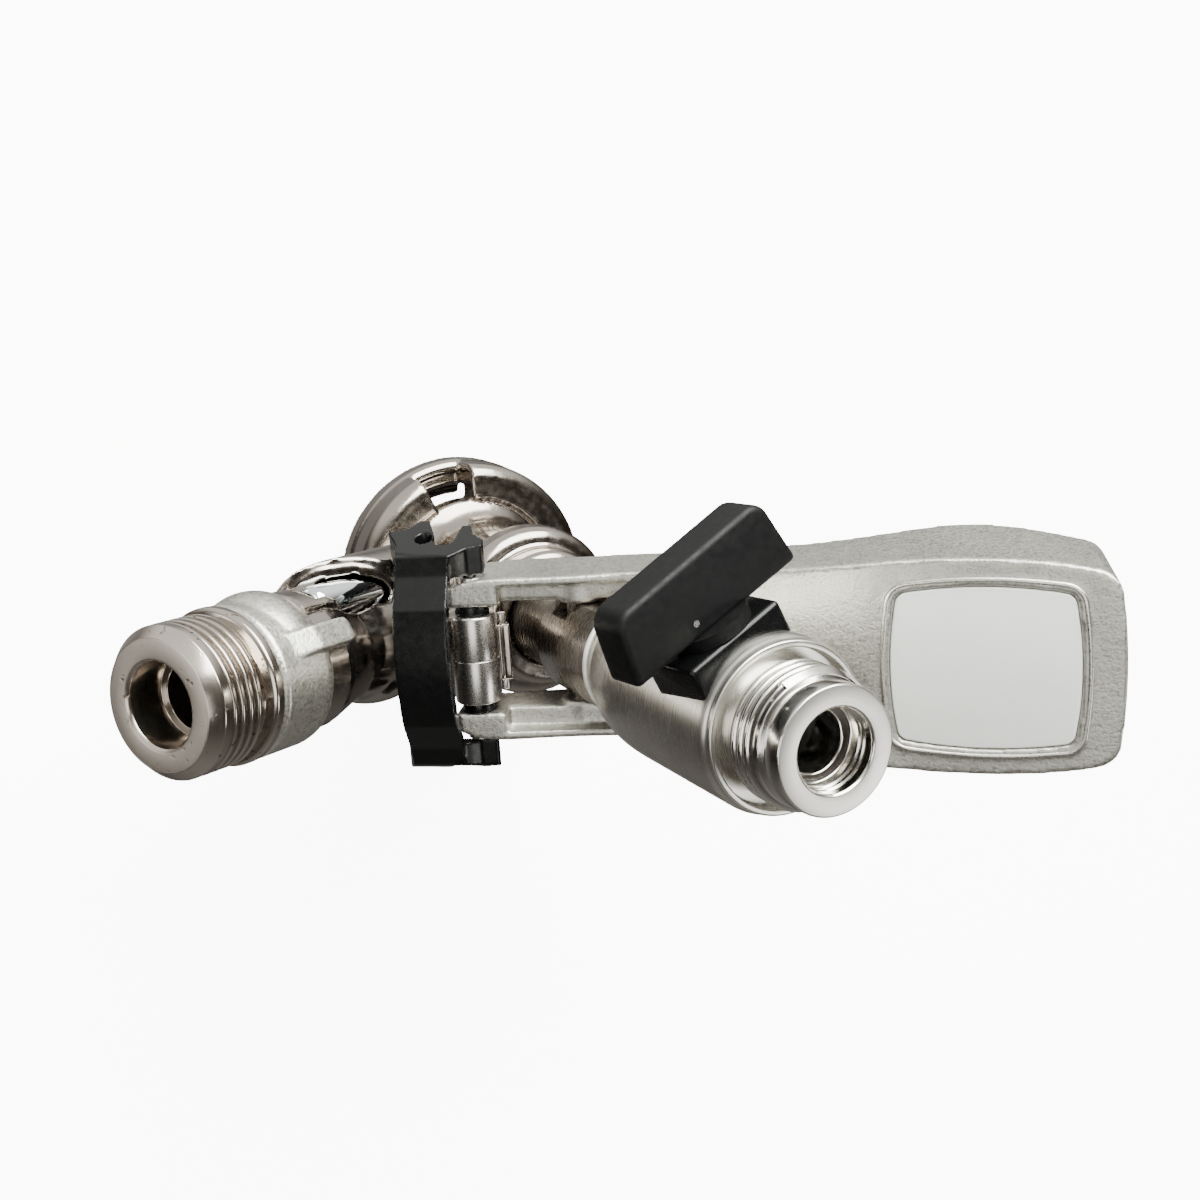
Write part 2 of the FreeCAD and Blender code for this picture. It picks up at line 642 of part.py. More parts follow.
def grip_wire(lift, extra):
    """The handle's outline seen from its face, at one height, widened by the casting's draft."""
    arm = ARM_OUTER_Y + extra * 0.5 - 0.5
    wide = GRIP_HALF + extra
    end = GRIP_TIP - 5.0
    points = [
        (ARM_END, arm - 2.4), (ARM_END + 2.4, arm - 0.9), (ARM_END + 6.0, arm - 0.1), (12, arm),
        (30, arm + 0.2), (50, arm + 0.9 + extra * 0.3),
        (68, wide - 1.4), (80, wide - 0.3), (92, wide), (102, wide - 0.5), (end, wide - 1.6)]
    upper = Part.BSplineCurve()
    upper.interpolate([Vector(x, y, lift) for x, y in points])
    lower = Part.BSplineCurve()
    lower.interpolate([Vector(x, -y, lift) for x, y in reversed(points)])
    corner = (end + 4.2, wide - 6.4)
    bend = (end + 3.0, wide - 3.2)
    return Part.Wire([
        upper.toShape(),
        Part.Arc(Vector(end, wide - 1.6, lift), Vector(*bend, lift), Vector(*corner, lift)).toShape(),
        Part.Arc(Vector(*corner, lift), Vector(GRIP_TIP, 0, lift),
                 Vector(corner[0], -corner[1], lift)).toShape(),
        Part.Arc(Vector(corner[0], -corner[1], lift), Vector(bend[0], -bend[1], lift),
                 Vector(end, -wide + 1.6, lift)).toShape(),
        lower.toShape(),
        Part.makeLine(Vector(ARM_END, 2.4 - arm, lift), Vector(ARM_END, arm - 2.4, lift))])


def face_height(along):
    """The height of the grip's face over the arms' middle line."""
    return FACE_START_LIFT + (along - FACE_START) * math.tan(math.radians(FACE_SLOPE))


def handle_side():
    """The handle seen from the side: straight arms that rise in an S to the grip's face."""
    end = GRIP_TIP + 2.0
    front = Part.BSplineCurve()
    rise = [(26, ARM_FRONT), (40, ARM_FRONT + 1.5), (55, ARM_FRONT + 6.0), (66, ARM_FRONT + 9.0),
            (FACE_START, FACE_START_LIFT)]
    front.interpolate([Vector(along, 0, lift) for along, lift in rise])
    back = Part.BSplineCurve()
    under = [(end, GRIP_BACK + 5.0), (104, GRIP_BACK + 4.2), (96, GRIP_BACK + 1.1), (87, GRIP_BACK),
             (78, GRIP_BACK + 1.5), (66, GRIP_BACK + 2.0), (50, ARM_BACK + 1.4), (30, ARM_BACK - 1.9),
             (18, ARM_BACK - 2.2), (4, ARM_BACK - 0.3)]
    back.interpolate([Vector(along, 0, lift) for along, lift in under])
    round_r = 3.6
    bend = round_r * (1 - math.sqrt(0.5))
    tip_r = 1.3
    tip = tip_r * (1 - math.sqrt(0.5))
    low = ARM_BACK - 0.3
    edges = [
        Part.makeLine(Vector(ARM_END + tip_r, 0, ARM_EYE_FRONT), Vector(5, 0, ARM_EYE_FRONT)),
        Part.makeLine(Vector(5, 0, ARM_EYE_FRONT), Vector(26, 0, ARM_FRONT)), front.toShape(),
        Part.makeLine(Vector(FACE_START, 0, FACE_START_LIFT), Vector(end, 0, face_height(end))),
        Part.makeLine(Vector(end, 0, face_height(end)), Vector(end, 0, GRIP_BACK + 5.0)), back.toShape(),
        Part.makeLine(Vector(4, 0, low), Vector(ARM_END + round_r, 0, low)),
        Part.Arc(Vector(ARM_END + round_r, 0, low), Vector(ARM_END + bend, 0, low + bend),
                 Vector(ARM_END, 0, low + round_r)).toShape(),
        Part.makeLine(Vector(ARM_END, 0, low + round_r), Vector(ARM_END, 0, ARM_EYE_FRONT - tip_r)),
        Part.Arc(Vector(ARM_END, 0, ARM_EYE_FRONT - tip_r), Vector(ARM_END + tip, 0, ARM_EYE_FRONT - tip),
                 Vector(ARM_END + tip_r, 0, ARM_EYE_FRONT)).toShape()]
    face = Part.Face(Part.Wire(edges))
    face.translate(Vector(0, -30, 0))
    return face.extrude(Vector(0, 60, 0))


def badge_plan(margin, low, high):
    """The badge's four bowed sides, as a slab in the handle's drawing frame."""
    half_l = BADGE_L / 2 - BADGE_BULGE + margin
    half_w = BADGE_W / 2 - BADGE_BULGE + margin
    bow = BADGE_BULGE
    items = [(-half_l, -half_w), (0, -half_w - bow, half_l, -half_w), (half_l + bow, 0, half_l, half_w),
             (0, half_w + bow, -half_l, half_w), (-half_l - bow, 0, -half_l, -half_w)]
    slab = plan_slab(items, low, high)
    upright = [edge for edge in slab.Edges if edge.BoundBox.ZLength > (high - low) * 0.9]
    slab = slab.makeFillet(BADGE_CORNER_R + margin, upright)
    slab.rotate(ORIGIN, Vector(0, 1, 0), -FACE_SLOPE)
    slab.translate(Vector(BADGE_CENTRE, 0, face_height(BADGE_CENTRE)))
    return slab


def fork_gap():
    """The space between the arms, ending in a round crotch."""
    gap = Part.makeBox(CROTCH_CENTRE + 20, 2 * ARM_INNER_Y, 60, Vector(-20, -ARM_INNER_Y, -30))
    return gap.fuse(Part.makeCylinder(ARM_INNER_Y, 60, Vector(CROTCH_CENTRE, 0, -30)))


def arm_recess():
    """The step that leaves each arm a thin outer flange in front of its inner rib."""
    inner = ARM_OUTER_Y - ARM_FLANGE_T
    return Part.makeBox(30, inner * 2, 20, Vector(5.4, -inner, ARM_FRONT - ARM_STEP))


def grip_hollow():
    """The hollow in the back of the grip, inside an even wall."""
    wide = GRIP_HALF - GRIP_WALL + 0.6
    tip = GRIP_TIP - GRIP_WALL - 0.6
    start = CROTCH_CENTRE + ARM_INNER_Y + GRIP_WALL + 2.0
    plan = plan_slab([
        (start, -9), (start, 9), (start + 10, wide - 1.4), (92, wide, 105, wide - 1.8), (tip - 1.0, 10),
        (tip, 0, tip - 1.0, -10), (105, -wide + 1.8), (92, -wide, start + 10, -wide + 1.4)], -30, 40)
    ceiling = Part.makeBox(140, 60, 60, Vector(-70, -30, -BADGE_T - GRIP_WALL - 60))
    ceiling.rotate(ORIGIN, Vector(0, 1, 0), -FACE_SLOPE)
    ceiling.translate(Vector(BADGE_CENTRE, 0, face_height(BADGE_CENTRE)))
    return plan.common(ceiling)


def handle_casting():
    """The sand-blasted fork and grip in one casting."""
    draft = Part.makeLoft([grip_wire(26.0, -0.9), grip_wire(-16.0, 2.4)], True, True)
    solid = draft.common(handle_side())
    for cut in (fork_gap(), grip_hollow(), arm_recess()):
        solid = solid.cut(cut)
    adds = [solid]
    for sign in (-1, 1):
        low, high = sorted((sign * DRIVE_BOSS_Y, sign * (ARM_OUTER_Y - 0.6)))
        adds.append(cross_rod(DRIVE_BOSS_R, DRIVE_U, DRIVE_W, low, high))
    ridge = badge_plan(BORDER_W + BADGE_GAP, -0.8, BORDER_H)
    adds.append(ridge.cut(badge_plan(BADGE_GAP, -0.9, BORDER_H + 0.1)))
    solid = joined(adds)
    solid = solid.cut(badge_plan(BADGE_GAP, -BADGE_T, 3))
    solid = solid.cut(cross_rod(HINGE_PIN_R + SEATED, 0, 0, -30, 30))
    solid = solid.cut(cross_rod(DRIVE_PIN_R, DRIVE_U, DRIVE_W, -ARM_OUTER_Y + 1.2, ARM_OUTER_Y - 1.2))
    return on_handle(solid).cut(valve_room())


def valve_room():
    """The room that the raised handle leaves round the valve."""
    margin = 1.2
    return turned([
        (0, UNION_Z - 8), (HEAD_R + margin, UNION_Z - 8), (UNION_R + margin, UNION_Z - 2),
        (UNION_R + margin, UNION_Z + 1),
        (VALVE_R + margin, VALVE_FLARE_END), (VALVE_R + margin, VALVE_END + 5), (0, VALVE_END + 5)])


def badge_plate():
    """The bare white plate in the grip's recess."""
    return on_handle(badge_plan(0, -BADGE_T, 0.1))


def hinge_pin():
    """The plain hinge pin, with a shallow hole in each end for the clip's pegs."""
    pin = cross_rod(HINGE_PIN_R, 0, 0, -HINGE_PIN_Y, HINGE_PIN_Y)
    for sign in (-1, 1):
        low, high = sorted((sign * (HINGE_PIN_Y - 1.6), sign * (HINGE_PIN_Y + 1)))
        pin = pin.cut(cross_rod(PEG_R + RUNNING, 0, 0, low, high))
    return on_handle(pin)


def drive_pins():
    """The two pins pressed in the arms' bosses."""
    pins = []
    for sign in (-1, 1):
        low, high = sorted((sign * DRIVE_TIP_Y, sign * (ARM_OUTER_Y - 1.2)))
        pins.append(cross_rod(DRIVE_PIN_R, DRIVE_U, DRIVE_W, low, high))
    return on_handle(group(pins))


def drive_rollers():
    """The two rollers that run in the probe's groove."""
    rollers = []
    for sign in (-1, 1):
        low, high = sorted((sign * DRIVE_TIP_Y, sign * (DRIVE_BOSS_Y - RUNNING)))
        roller = cross_rod(DRIVE_ROLLER_R, DRIVE_U, DRIVE_W, low, high)
        rollers.append(roller.cut(cross_rod(DRIVE_PIN_R + SEATED, DRIVE_U, DRIVE_W, low, high)))
    return on_handle(group(rollers))


def claw():
    """One claw of the clip: a star-shaped block with a slanted top, beside the arm's end."""
    block = side_slab([
        (CLIP_LEFT, CLIP_FOOT), (CLIP_LEFT - 0.5, -0.4), (-15.9, -4.6), (-12.2, -5.4), (-10.3, -8.0),
        (-8.4, -7.4), (-6.7, -3.0), (-5.0, -0.1, -2.6, -2.1), (-2.0, -5.8), (-0.2, -5.7), (0.6, -3.2),
        (2.9, -1.2), (2.9, 0.6), (-0.1, 1.4), (-1.6, 2.7), (CLIP_RIGHT, CLIP_FOOT + 1.4)],
        CLAW_Y, CLAW_Y + 16)
    knife = Part.makeBox(60, 30, 60, Vector(-30, 0, -30))
    knife.rotate(ORIGIN, Vector(1, 0, 0), CLAW_TILT)
    knife.translate(Vector(0, CLAW_Y + CLAW_T, CLIP_FOOT + 1.0))
    under = Part.makeBox(60, 30, 60, Vector(-30, -30, -60))
    under.rotate(ORIGIN, Vector(1, 0, 0), CLAW_TILT + 4.0)
    under.translate(Vector(0, CLAW_Y, CLIP_FOOT - 1.6))
    pocket = cross_rod(1.6, -8.6, -2.2, CLAW_Y + 2.5, CLAW_Y + 16)
    peg = cross_rod(PEG_R, 0, 0, ARM_OUTER_Y - 0.7, CLAW_Y + 1)
    return block.cut(knife).cut(under).cut(pocket).fuse(peg)


def hinge_clip():
    """The black plastic clip: an arched strap in front of the hinge with a claw at each end."""
    out_y, mid_y = CLAW_Y + CLAW_T, 11.0
    low = CLIP_TOP - 1.5
    path = [(out_y, CLIP_FOOT + 1.0), (CLAW_Y + 0.7, CLIP_FOOT + 2.2), (mid_y, low),
            (0, CLIP_TOP, -mid_y, low), (-CLAW_Y - 0.7, CLIP_FOOT + 2.2), (-out_y, CLIP_FOOT + 1.0),
            (-out_y, CLIP_FOOT), (-CLAW_Y, CLIP_FOOT), (-mid_y + 0.8, low - CLIP_T),
            (0, CLIP_TOP - CLIP_T, mid_y - 0.8, low - CLIP_T), (CLAW_Y, CLIP_FOOT), (out_y, CLIP_FOOT)]
    strap = Part.Face(outline(path, "yz"))
    strap.translate(Vector(CLIP_LEFT, 0, 0))
    strap = strap.extrude(Vector(CLIP_RIGHT - CLIP_LEFT, 0, 0))
    return on_handle(joined([strap, claw(), mirrored_y(claw())]))


def probe_levels():
    """Heights of the drive groove, worked out from the drive pins' place."""
    lean = math.radians(HANDLE_RISE)
    middle = HINGE_Z + DRIVE_U * math.sin(lean) + DRIVE_W * math.cos(lean)
    low = middle - DRIVE_ROLLER_R - SLOT_SLACK
    high = middle + DRIVE_ROLLER_R + SLOT_SLACK
    return low, high


def probe_tube():
    """The sliding probe, with a roller slot on each side of its head and the union's cone on top."""
    low, high = probe_levels()
    foot = PROBE_TIP + 2.0
    body = turned([
        (PROBE_BORE_R, foot), (PROBE_R - 1.4, foot), (PROBE_R - 1.4, PROBE_TIP + PROBE_SEAL_H),
        (PROBE_R, PROBE_TIP + PROBE_SEAL_H + SEATED), (PROBE_R, HEAD_LOW),
        (HEAD_R - 0.5, HEAD_LOW), (HEAD_R, HEAD_LOW + 0.5), (HEAD_R, UNION_Z - 8.0),
        (HEAD_R + 0.6, UNION_Z - 4.0, UNION_R, UNION_Z - 0.8), (UNION_R, UNION_Z), (PROBE_BORE_R, UNION_Z)])
    for side in (-HEAD_R - 3, SLOT_Y):
        body = body.cut(Part.makeBox(4 * HEAD_R, HEAD_R + 3 - SLOT_Y, high - low,
                                     Vector(-2 * HEAD_R, side, low)))
    return body


def probe_seal():
    """The rubber seal on the probe's foot."""
    return turned([
        (PROBE_R - 1.4, PROBE_TIP + 2.0), (PROBE_BORE_R + 0.4, PROBE_TIP + 2.0),
        (PROBE_BORE_R + 0.4, PROBE_TIP),
        (PROBE_R, PROBE_TIP), (PROBE_SEAL_R - 0.8, PROBE_TIP + 1.6, PROBE_SEAL_R, PROBE_TIP + 4.0),
        (PROBE_SEAL_R, PROBE_TIP + PROBE_SEAL_H - 2.0), (PROBE_SEAL_R - 1.4, PROBE_TIP + PROBE_SEAL_H),
        (PROBE_R - 1.4, PROBE_TIP + PROBE_SEAL_H)])


def ball_cage():
    """The stainless seat ring under the check ball, and the crossed pins above it."""
    outer = PROBE_BORE_R - SEATED
    hole = CHECK_BALL_R - 0.7
    top = CHECK_BALL_Z - math.sqrt((CHECK_BALL_R + SEATED) ** 2 - hole ** 2)
    seat = tube(outer, hole, top - 1.4, top)
    stop_z = CHECK_BALL_Z + CHECK_BALL_R + CHECK_LIFT + 0.5
    stops = [tube(outer, outer - 0.7, stop_z - 0.4, stop_z + 0.4)]
    for turn in (0, 90):
        bar = Part.makeCylinder(0.4, 2 * outer - 0.4, Vector(0, -outer + 0.2, stop_z), Vector(0, 1, 0))
        bar.rotate(ORIGIN, UP, turn)
        stops.append(bar)
    return group([seat, joined(stops)])


def check_ball():
    return Part.makeSphere(CHECK_BALL_R, Vector(0, 0, CHECK_BALL_Z))


def union_ring():
    """The bright flat gasket between the probe's cone and the valve."""
    return tube(UNION_R + 0.25, PROBE_BORE_R + 1.0, UNION_Z, UNION_Z + UNION_T)


def valve_body():
    """The ball valve's housing, with the bonnet that holds the stem."""
    start = UNION_Z + UNION_T
    shell = turned([
        (0, start), (UNION_R, start), (UNION_R, start + 1.6),
        (VALVE_R - 0.9, VALVE_FLARE_END - 5.0, VALVE_R, VALVE_FLARE_END + 2.0),
        (VALVE_R, VALVE_END - 2.2), (VALVE_RIM_R, VALVE_END - 1.0), (VALVE_RIM_R, VALVE_END),
        (0, VALVE_END)])
    bonnet = on_stem(turned([
        (0, BONNET_ROOT), (BONNET_R, BONNET_ROOT), (BONNET_R, BONNET_TOP - 0.5),
        (BONNET_R - 0.5, BONNET_TOP),
        (0, BONNET_TOP)]))
    solid = shell.fuse(bonnet).removeSplitter()
    recess = rod(VALVE_RECESS_R, VALVE_END - VALVE_RECESS_DEPTH, VALVE_END + 1)
    room = rod(BALL_R + 1.0, STEM_Z - BALL_R - 1.4, VALVE_END)
    channel = rod(PROBE_BORE_R, start - 1, STEM_Z)
    stem_hole = on_stem(rod(STEM_R + RUNNING, 0, BONNET_TOP + 1))
    ring_room = on_stem(rod(STEM_R + 1.3, STEM_RING_LOW, STEM_RING_HIGH))
    for cut in (recess, room, channel, stem_hole, ring_room):
        solid = solid.cut(cut)
    return solid


def valve_ball():
    """The drilled ball, with the slot that the stem's tongue turns."""
    bore = Part.makeCylinder(BALL_BORE_R, 40, Vector(-20, 0, 0), Vector(1, 0, 0))
    ball = Part.makeSphere(BALL_R).cut(bore)
    slot = Part.makeBox(2 * BALL_R, 2.2, 4, Vector(-BALL_R, -1.1, BALL_R - 2.0))
    return on_stem(ball.cut(slot))


def valve_seats():
    """The two plastic seats that the ball turns in."""
    seats = []
    touch = BALL_R * 0.78
    for sign in (-1, 1):
        near = STEM_Z + sign * (touch - 1.4)
        far = STEM_Z + sign * (BALL_R + 1.2)
        low, high = min(near, far), max(near, far)
        ring = tube(BALL_R + 1.0 - SEATED, OUTLET_CHANNEL_R, low, high)
        seats.append(ring.cut(Part.makeSphere(BALL_R + RUNNING, Vector(0, 0, STEM_Z))))
    return group(seats)


def stem_square():
    """The square that turns the stem with the lever, in the stem's frame."""
    side = STEM_SQUARE
    return Part.makeBox(side, side, LEVER_BASE_TOP - 1.6 - LEVER_BASE_LOW,
                        Vector(-side / 2, -side / 2, LEVER_BASE_LOW))


def valve_stem():
    """The stem, from its tongue in the ball to the square under the lever."""
    tongue = Part.makeBox(4.0, 2.0, 3.0, Vector(-2.0, -1.0, BALL_R - 1.8))
    shank = rod(STEM_R, BALL_R + 0.8, LEVER_BASE_LOW)
    return on_stem(joined([tongue, shank, stem_square()]))


def stem_o_ring():
    return on_stem(tube(STEM_R + 1.3 - SEATED, STEM_R + RUNNING,
                         STEM_RING_LOW + SEATED, STEM_RING_HIGH - SEATED))


def outlet_nipple():
    """The outlet insert, with the thread at its full diameter and a smooth pilot ring."""
    floor = VALVE_END - VALVE_RECESS_DEPTH
    inner = STEM_Z + BALL_R + 1.2
    end = OUTLET_END
    ring_start = end - OUTLET_RING_W
    return turned([
        (OUTLET_CHANNEL_R, inner), (BALL_R + 1.0 - SEATED, inner), (BALL_R + 1.0 - SEATED, floor),
        (OUTLET_GROOVE_R, floor), (OUTLET_GROOVE_R, VALVE_END - 0.6), (OUTLET_THREAD_R - 0.7, VALVE_END),
        (OUTLET_THREAD_R, VALVE_END + 0.7), (OUTLET_THREAD_R, OUTLET_THREAD_END - 0.7),
        (OUTLET_THREAD_R - 0.9, OUTLET_THREAD_END), (OUTLET_GROOVE_R, OUTLET_THREAD_END),
        (OUTLET_GROOVE_R, ring_start), (OUTLET_RING_R - 0.3, ring_start), (OUTLET_RING_R, ring_start + 0.3),
        (OUTLET_RING_R, end - 0.4), (OUTLET_RING_R - 0.4, end), (OUTLET_BORE_R + 0.4, end),
        (OUTLET_BORE_R, end - 0.4), (OUTLET_BORE_R, end - OUTLET_BORE_DEPTH),
        (OUTLET_CHANNEL_R, end - OUTLET_BORE_DEPTH - 1.0)])


def wing_lever():
    """The black wing lever: a thick tapered wing on a flared base."""
    half, top_half = LEVER_L / 2, LEVER_TOP_L / 2
    wing = side_slab([
        (-half, LEVER_BASE_TOP), (half, LEVER_BASE_TOP), (top_half + 0.8, LEVER_TOP - 2.0),
        (top_half + 0.2, LEVER_TOP - 0.6, top_half - 1.4, LEVER_TOP), (-top_half + 1.4, LEVER_TOP),
        (-top_half - 0.2, LEVER_TOP - 0.6, -top_half - 0.8, LEVER_TOP - 2.0)], -LEVER_T / 2, LEVER_T / 2)
    x, y = LEVER_BASE_L / 2, LEVER_BASE_W / 2
    pinch = 2.4
    foot = plan_slab([
        (-x, -y), (0, -y + pinch, x, -y), (x - 1.4, 0, x, y), (0, y - pinch, -x, y), (-x + 1.4, 0, -x, -y)],
        LEVER_BASE_LOW, LEVER_BASE_TOP)
    return on_stem(joined([wing, foot]).cut(stem_square()).cut(lever_pin_rod(LEVER_T + 2)))


def lever_pin_rod(length):
    """A rod of one length through the wing, in the stem's frame."""
    start = Vector(LEVER_PIN_X, -length / 2, LEVER_BASE_TOP + 2.4)
    return Part.makeCylinder(LEVER_PIN_R, length, start, Vector(0, 1, 0))


def lever_pin():
    """The small pin through the wing."""
    return on_stem(lever_pin_rod(LEVER_T + 0.2))


PARTS = {
    "body_casting": body_casting,
    "base_seal": base_seal,
    "gland_seal": gland_seal,
    "stop_pin": stop_pin,
    "hinge_sleeves": hinge_sleeves,
    "hinge_washers": hinge_washers,
    "gas_collar": gas_collar,
    "gas_nipple": gas_nipple,
    "gas_lip_valve": gas_lip_valve,
    "relief_housing": relief_housing,
    "relief_poppet": relief_poppet,
    "relief_spring": relief_spring,
    "handle_casting": handle_casting,
    "badge_plate": badge_plate,
    "hinge_pin": hinge_pin,
    "drive_pins": drive_pins,
    "drive_rollers": drive_rollers,
    "hinge_clip": hinge_clip,
    "probe_tube": probe_tube,
    "probe_seal": probe_seal,
    "ball_cage": ball_cage,
    "check_ball": check_ball,
    "union_ring": union_ring,
    "valve_body": valve_body,
    "valve_ball": valve_ball,
    "valve_seats": valve_seats,
    "valve_stem": valve_stem,
    "stem_o_ring": stem_o_ring,
    "outlet_nipple": outlet_nipple,
    "wing_lever": wing_lever,
    "lever_pin": lever_pin,
}


def main():
    os.makedirs("parts", exist_ok=True)
    for name, make in PARTS.items():
        shape = make()
        shape.exportStep("parts/" + name + ".step")
        box = shape.BoundBox
        print(name, "solids", len(shape.Solids), "valid", shape.isValid(), "volume", round(shape.Volume, 1),
              "z", round(box.ZMin, 2), round(box.ZMax, 2))


main()
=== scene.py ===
"""Dresses the keg coupler's frame: castings, turned parts, plastic parts and their finishes."""
import math

import bmesh
import bpy
from mathutils import Matrix, Vector


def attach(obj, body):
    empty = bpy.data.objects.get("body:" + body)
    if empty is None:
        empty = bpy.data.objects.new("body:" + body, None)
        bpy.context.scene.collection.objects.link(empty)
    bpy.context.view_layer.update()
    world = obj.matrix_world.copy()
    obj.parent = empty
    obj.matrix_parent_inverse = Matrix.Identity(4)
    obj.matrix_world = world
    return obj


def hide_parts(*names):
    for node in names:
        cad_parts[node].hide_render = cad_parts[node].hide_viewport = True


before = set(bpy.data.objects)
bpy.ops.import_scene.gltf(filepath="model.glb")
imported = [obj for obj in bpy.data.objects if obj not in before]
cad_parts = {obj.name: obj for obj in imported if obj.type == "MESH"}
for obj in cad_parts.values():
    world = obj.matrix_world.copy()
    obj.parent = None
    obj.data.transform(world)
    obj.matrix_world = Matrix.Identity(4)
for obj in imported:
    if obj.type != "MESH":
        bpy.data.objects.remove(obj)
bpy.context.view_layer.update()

bl_info = {
    "name": "Keg Coupler",
    "version": (1, 0, 0),
    "blender": (4, 5, 0),
    "location": "View3D > Sidebar > Keg Coupler",
    "description": "Builds the castings, turned parts, plastic parts and finishes of a keg coupler",
    "category": "Object",
}

# Lengths are in millimetres, angles in radians, and a piece's heights run along its own axis.
MM = 0.001
STEPS = 128
FINE_STEPS = 96
ROD_STEPS = 48
MERGE = 0.002
TOUCH = 0.01

# Places of the frames
GAS_AXIS = Vector((-0.852907, 0.059641, 0.518645))
GAS_TURN = math.radians(4.0)
GAS_HEIGHT = 30.8
RELIEF_OFFSET = 9.3
HANDLE_RISE = math.radians(35.0)
HINGE_SPOT = (-23.0, 0, 69.0)
STOP_PIN_ALONG = 4.5
STOP_PIN_BELOW = 3.6
BADGE_ALONG = 91.1
FACE_SLOPE = math.radians(7.8)
FACE_START = 77.0
FACE_HEIGHT = 12.4
STEM_TURN = math.radians(25.0)
STEM_HEIGHT = 128.7
LEVER_TURN = math.radians(6.4)

# A thread's tooth: its foot and top as shares of the pitch, its rounding, how deep it stands in the
# core, and how fast it grows out of the core at its two ends
TOOTH_FOOT = 0.46
TOOTH_TOP = 0.24
TOOTH_ROUND = 0.25
TOOTH_SUNK = 0.3
TOOTH_START = 0.1
TOOTH_GROWS = 0.9
TOOTH_FADES = 0.7

# Body casting. Each wall that stays truly round is a radius, a low end and a high end.
PIN_BED_R = 1.05
PIN_BED_HALF = 5.6
RIM_BORE_R = 4.75
RIM_R = 6.2
RIM_LOW = 40.5
RIM_TOP = 64.0
MOUTH_TILT = math.radians(55.0)
MOUTH_AT = 52.0
BODY_WALLS = ((14.6, 15.5, 39.0), (17.5, 40.0, 46.5), (13.7, 48.0, 52.0), (27.0, 0.6, 5.4))
BRANCH_WALL = (12.2, 64.5, 69.5)
WALL_REACH = 0.12

# Gas inlet
COLLAR_GRAIN = 0.3
LIP_BORE_R = 5.87
GAS_BORE_R = 7.23
SPIGOT_R = 9.2
SPIGOT_END = 75.5
GAS_SEAT = 82.52
GAS_NECK_R = 12.9
GAS_FLANGE_R = 13.8
GAS_CORE_R = 11.75
GAS_CREST_R = 13.15
GAS_THREAD_LOW = 85.3
GAS_THREAD_TOP = 94.9
GAS_LAND_R = 13.1
GAS_FACE = 98.0
GAS_DULL_FROM = 97.85

# Relief valve
HOUSING_LOW = 34.0
HOUSING_FOOT_R = 4.38
HOUSING_R = 3.9
HOUSING_CAP_R = 3.3
HOUSING_TOP = 62.2
SPRING_ROOM_R = 2.9
SPRING_ROOM_TOP = 57.0
HOUSING_FLOOR = 36.0
HOUSING_HOLE_R = 2.0
CAP_HOLE_R = 1.5
POPPET_LOW = 36.02
POPPET_R = 2.7
POPPET_STEM_R = 1.2
POPPET_TIP_R = 0.8
POPPET_TOP = 63.0

# Hinge, from its middle outwards
SEAM = 0.04
SLEEVE_BORE_R = 2.56
SLEEVE_R = 4.35
SLEEVE_END = 8.4
WASHER_BORE_R = 2.54
WASHER_R = 3.2
WASHER_START = 8.46
WASHER_END = 10.08
STOP_PIN_R = 0.9
STOP_PIN_SHOWN = 2.0
STOP_PIN_STARTS = (-7.4, 5.4)

# Badge. Each plate is half its length, half its width, the bow of its sides and its corner.
BORDER_PLATE = (16.25, 14.65, 1.3, 2.9)
BORDER_OPENING = (15.45, 13.85, 1.3, 2.2)
BORDER_SUNK = 0.6
BADGE_PLATE = (14.5, 12.9, 1.3, 1.4)
BADGE_THICKNESS = 1.1
BADGE_SUNK = 1.0
BADGE_EDGE = 0.3
OPENING_DEPTH = 4.0
BOW_STEPS = 10
CORNER_STEPS = 6

# Hinge clip
CLIP_GRAIN = 0.25
CLIP_ROUNDS = 4

# Probe. Its flats and its slots are a distance from the middle, a low end and a high end.
PROBE_BORE_R = 3.9
PROBE_TIP_R = 5.1
PROBE_TIP = 18.0
PROBE_SEAL_TOP = 25.0
PROBE_R = 6.5
HEAD_LOW = 52.7
HEAD_R = 9.0
CROWN_R = 11.1
CROWN_LOW = 69.8
PROBE_TOP = 90.0
HEAD_FLATS = (9.2, 66.0, 88.8)
ROLLER_SLOTS = (6.6, 73.15, 79.05)
HEAD_CUT_HALF = 20.0
HEAD_CUT_OUT = 14.0
GASKET_BORE_R = 4.9
GASKET_R = 11.35

# Ball valve and outlet
VALVE_LOW = 91.0
VALVE_R = 14.6
VALVE_RIM_R = 14.05
VALVE_FACE = 136.5
VALVE_TOP = 138.7
VALVE_FOOT_R = 11.1
VALVE_MOUTH_R = 12.9
VALVE_BORE_R = 4.2
BALL_ROOM_R = 7.0
BALL_ROOM_LOW = 121.3
BONNET_BORE_R = 3.06
BONNET_R = 6.2
BONNET_LOW = 8.0
BONNET_TOP = 14.9
OUTLET_LOW = 135.9
OUTLET_CHANNEL_R = 5.0
OUTLET_FOOT_R = 6.9
OUTLET_NECK_R = 9.5
OUTLET_CORE_R = 10.55
OUTLET_CREST_R = 11.455
OUTLET_THREAD_LOW = 138.8
OUTLET_THREAD_TOP = 146.5
OUTLET_RING_R = 10.26
OUTLET_BORE_R = 6.6
OUTLET_GROOVE_R = 6.95
OUTLET_GROOVES = (149.7, 148.5)
OUTLET_TOP = 151.4
OUTLET_DULL_FROM = 151.3

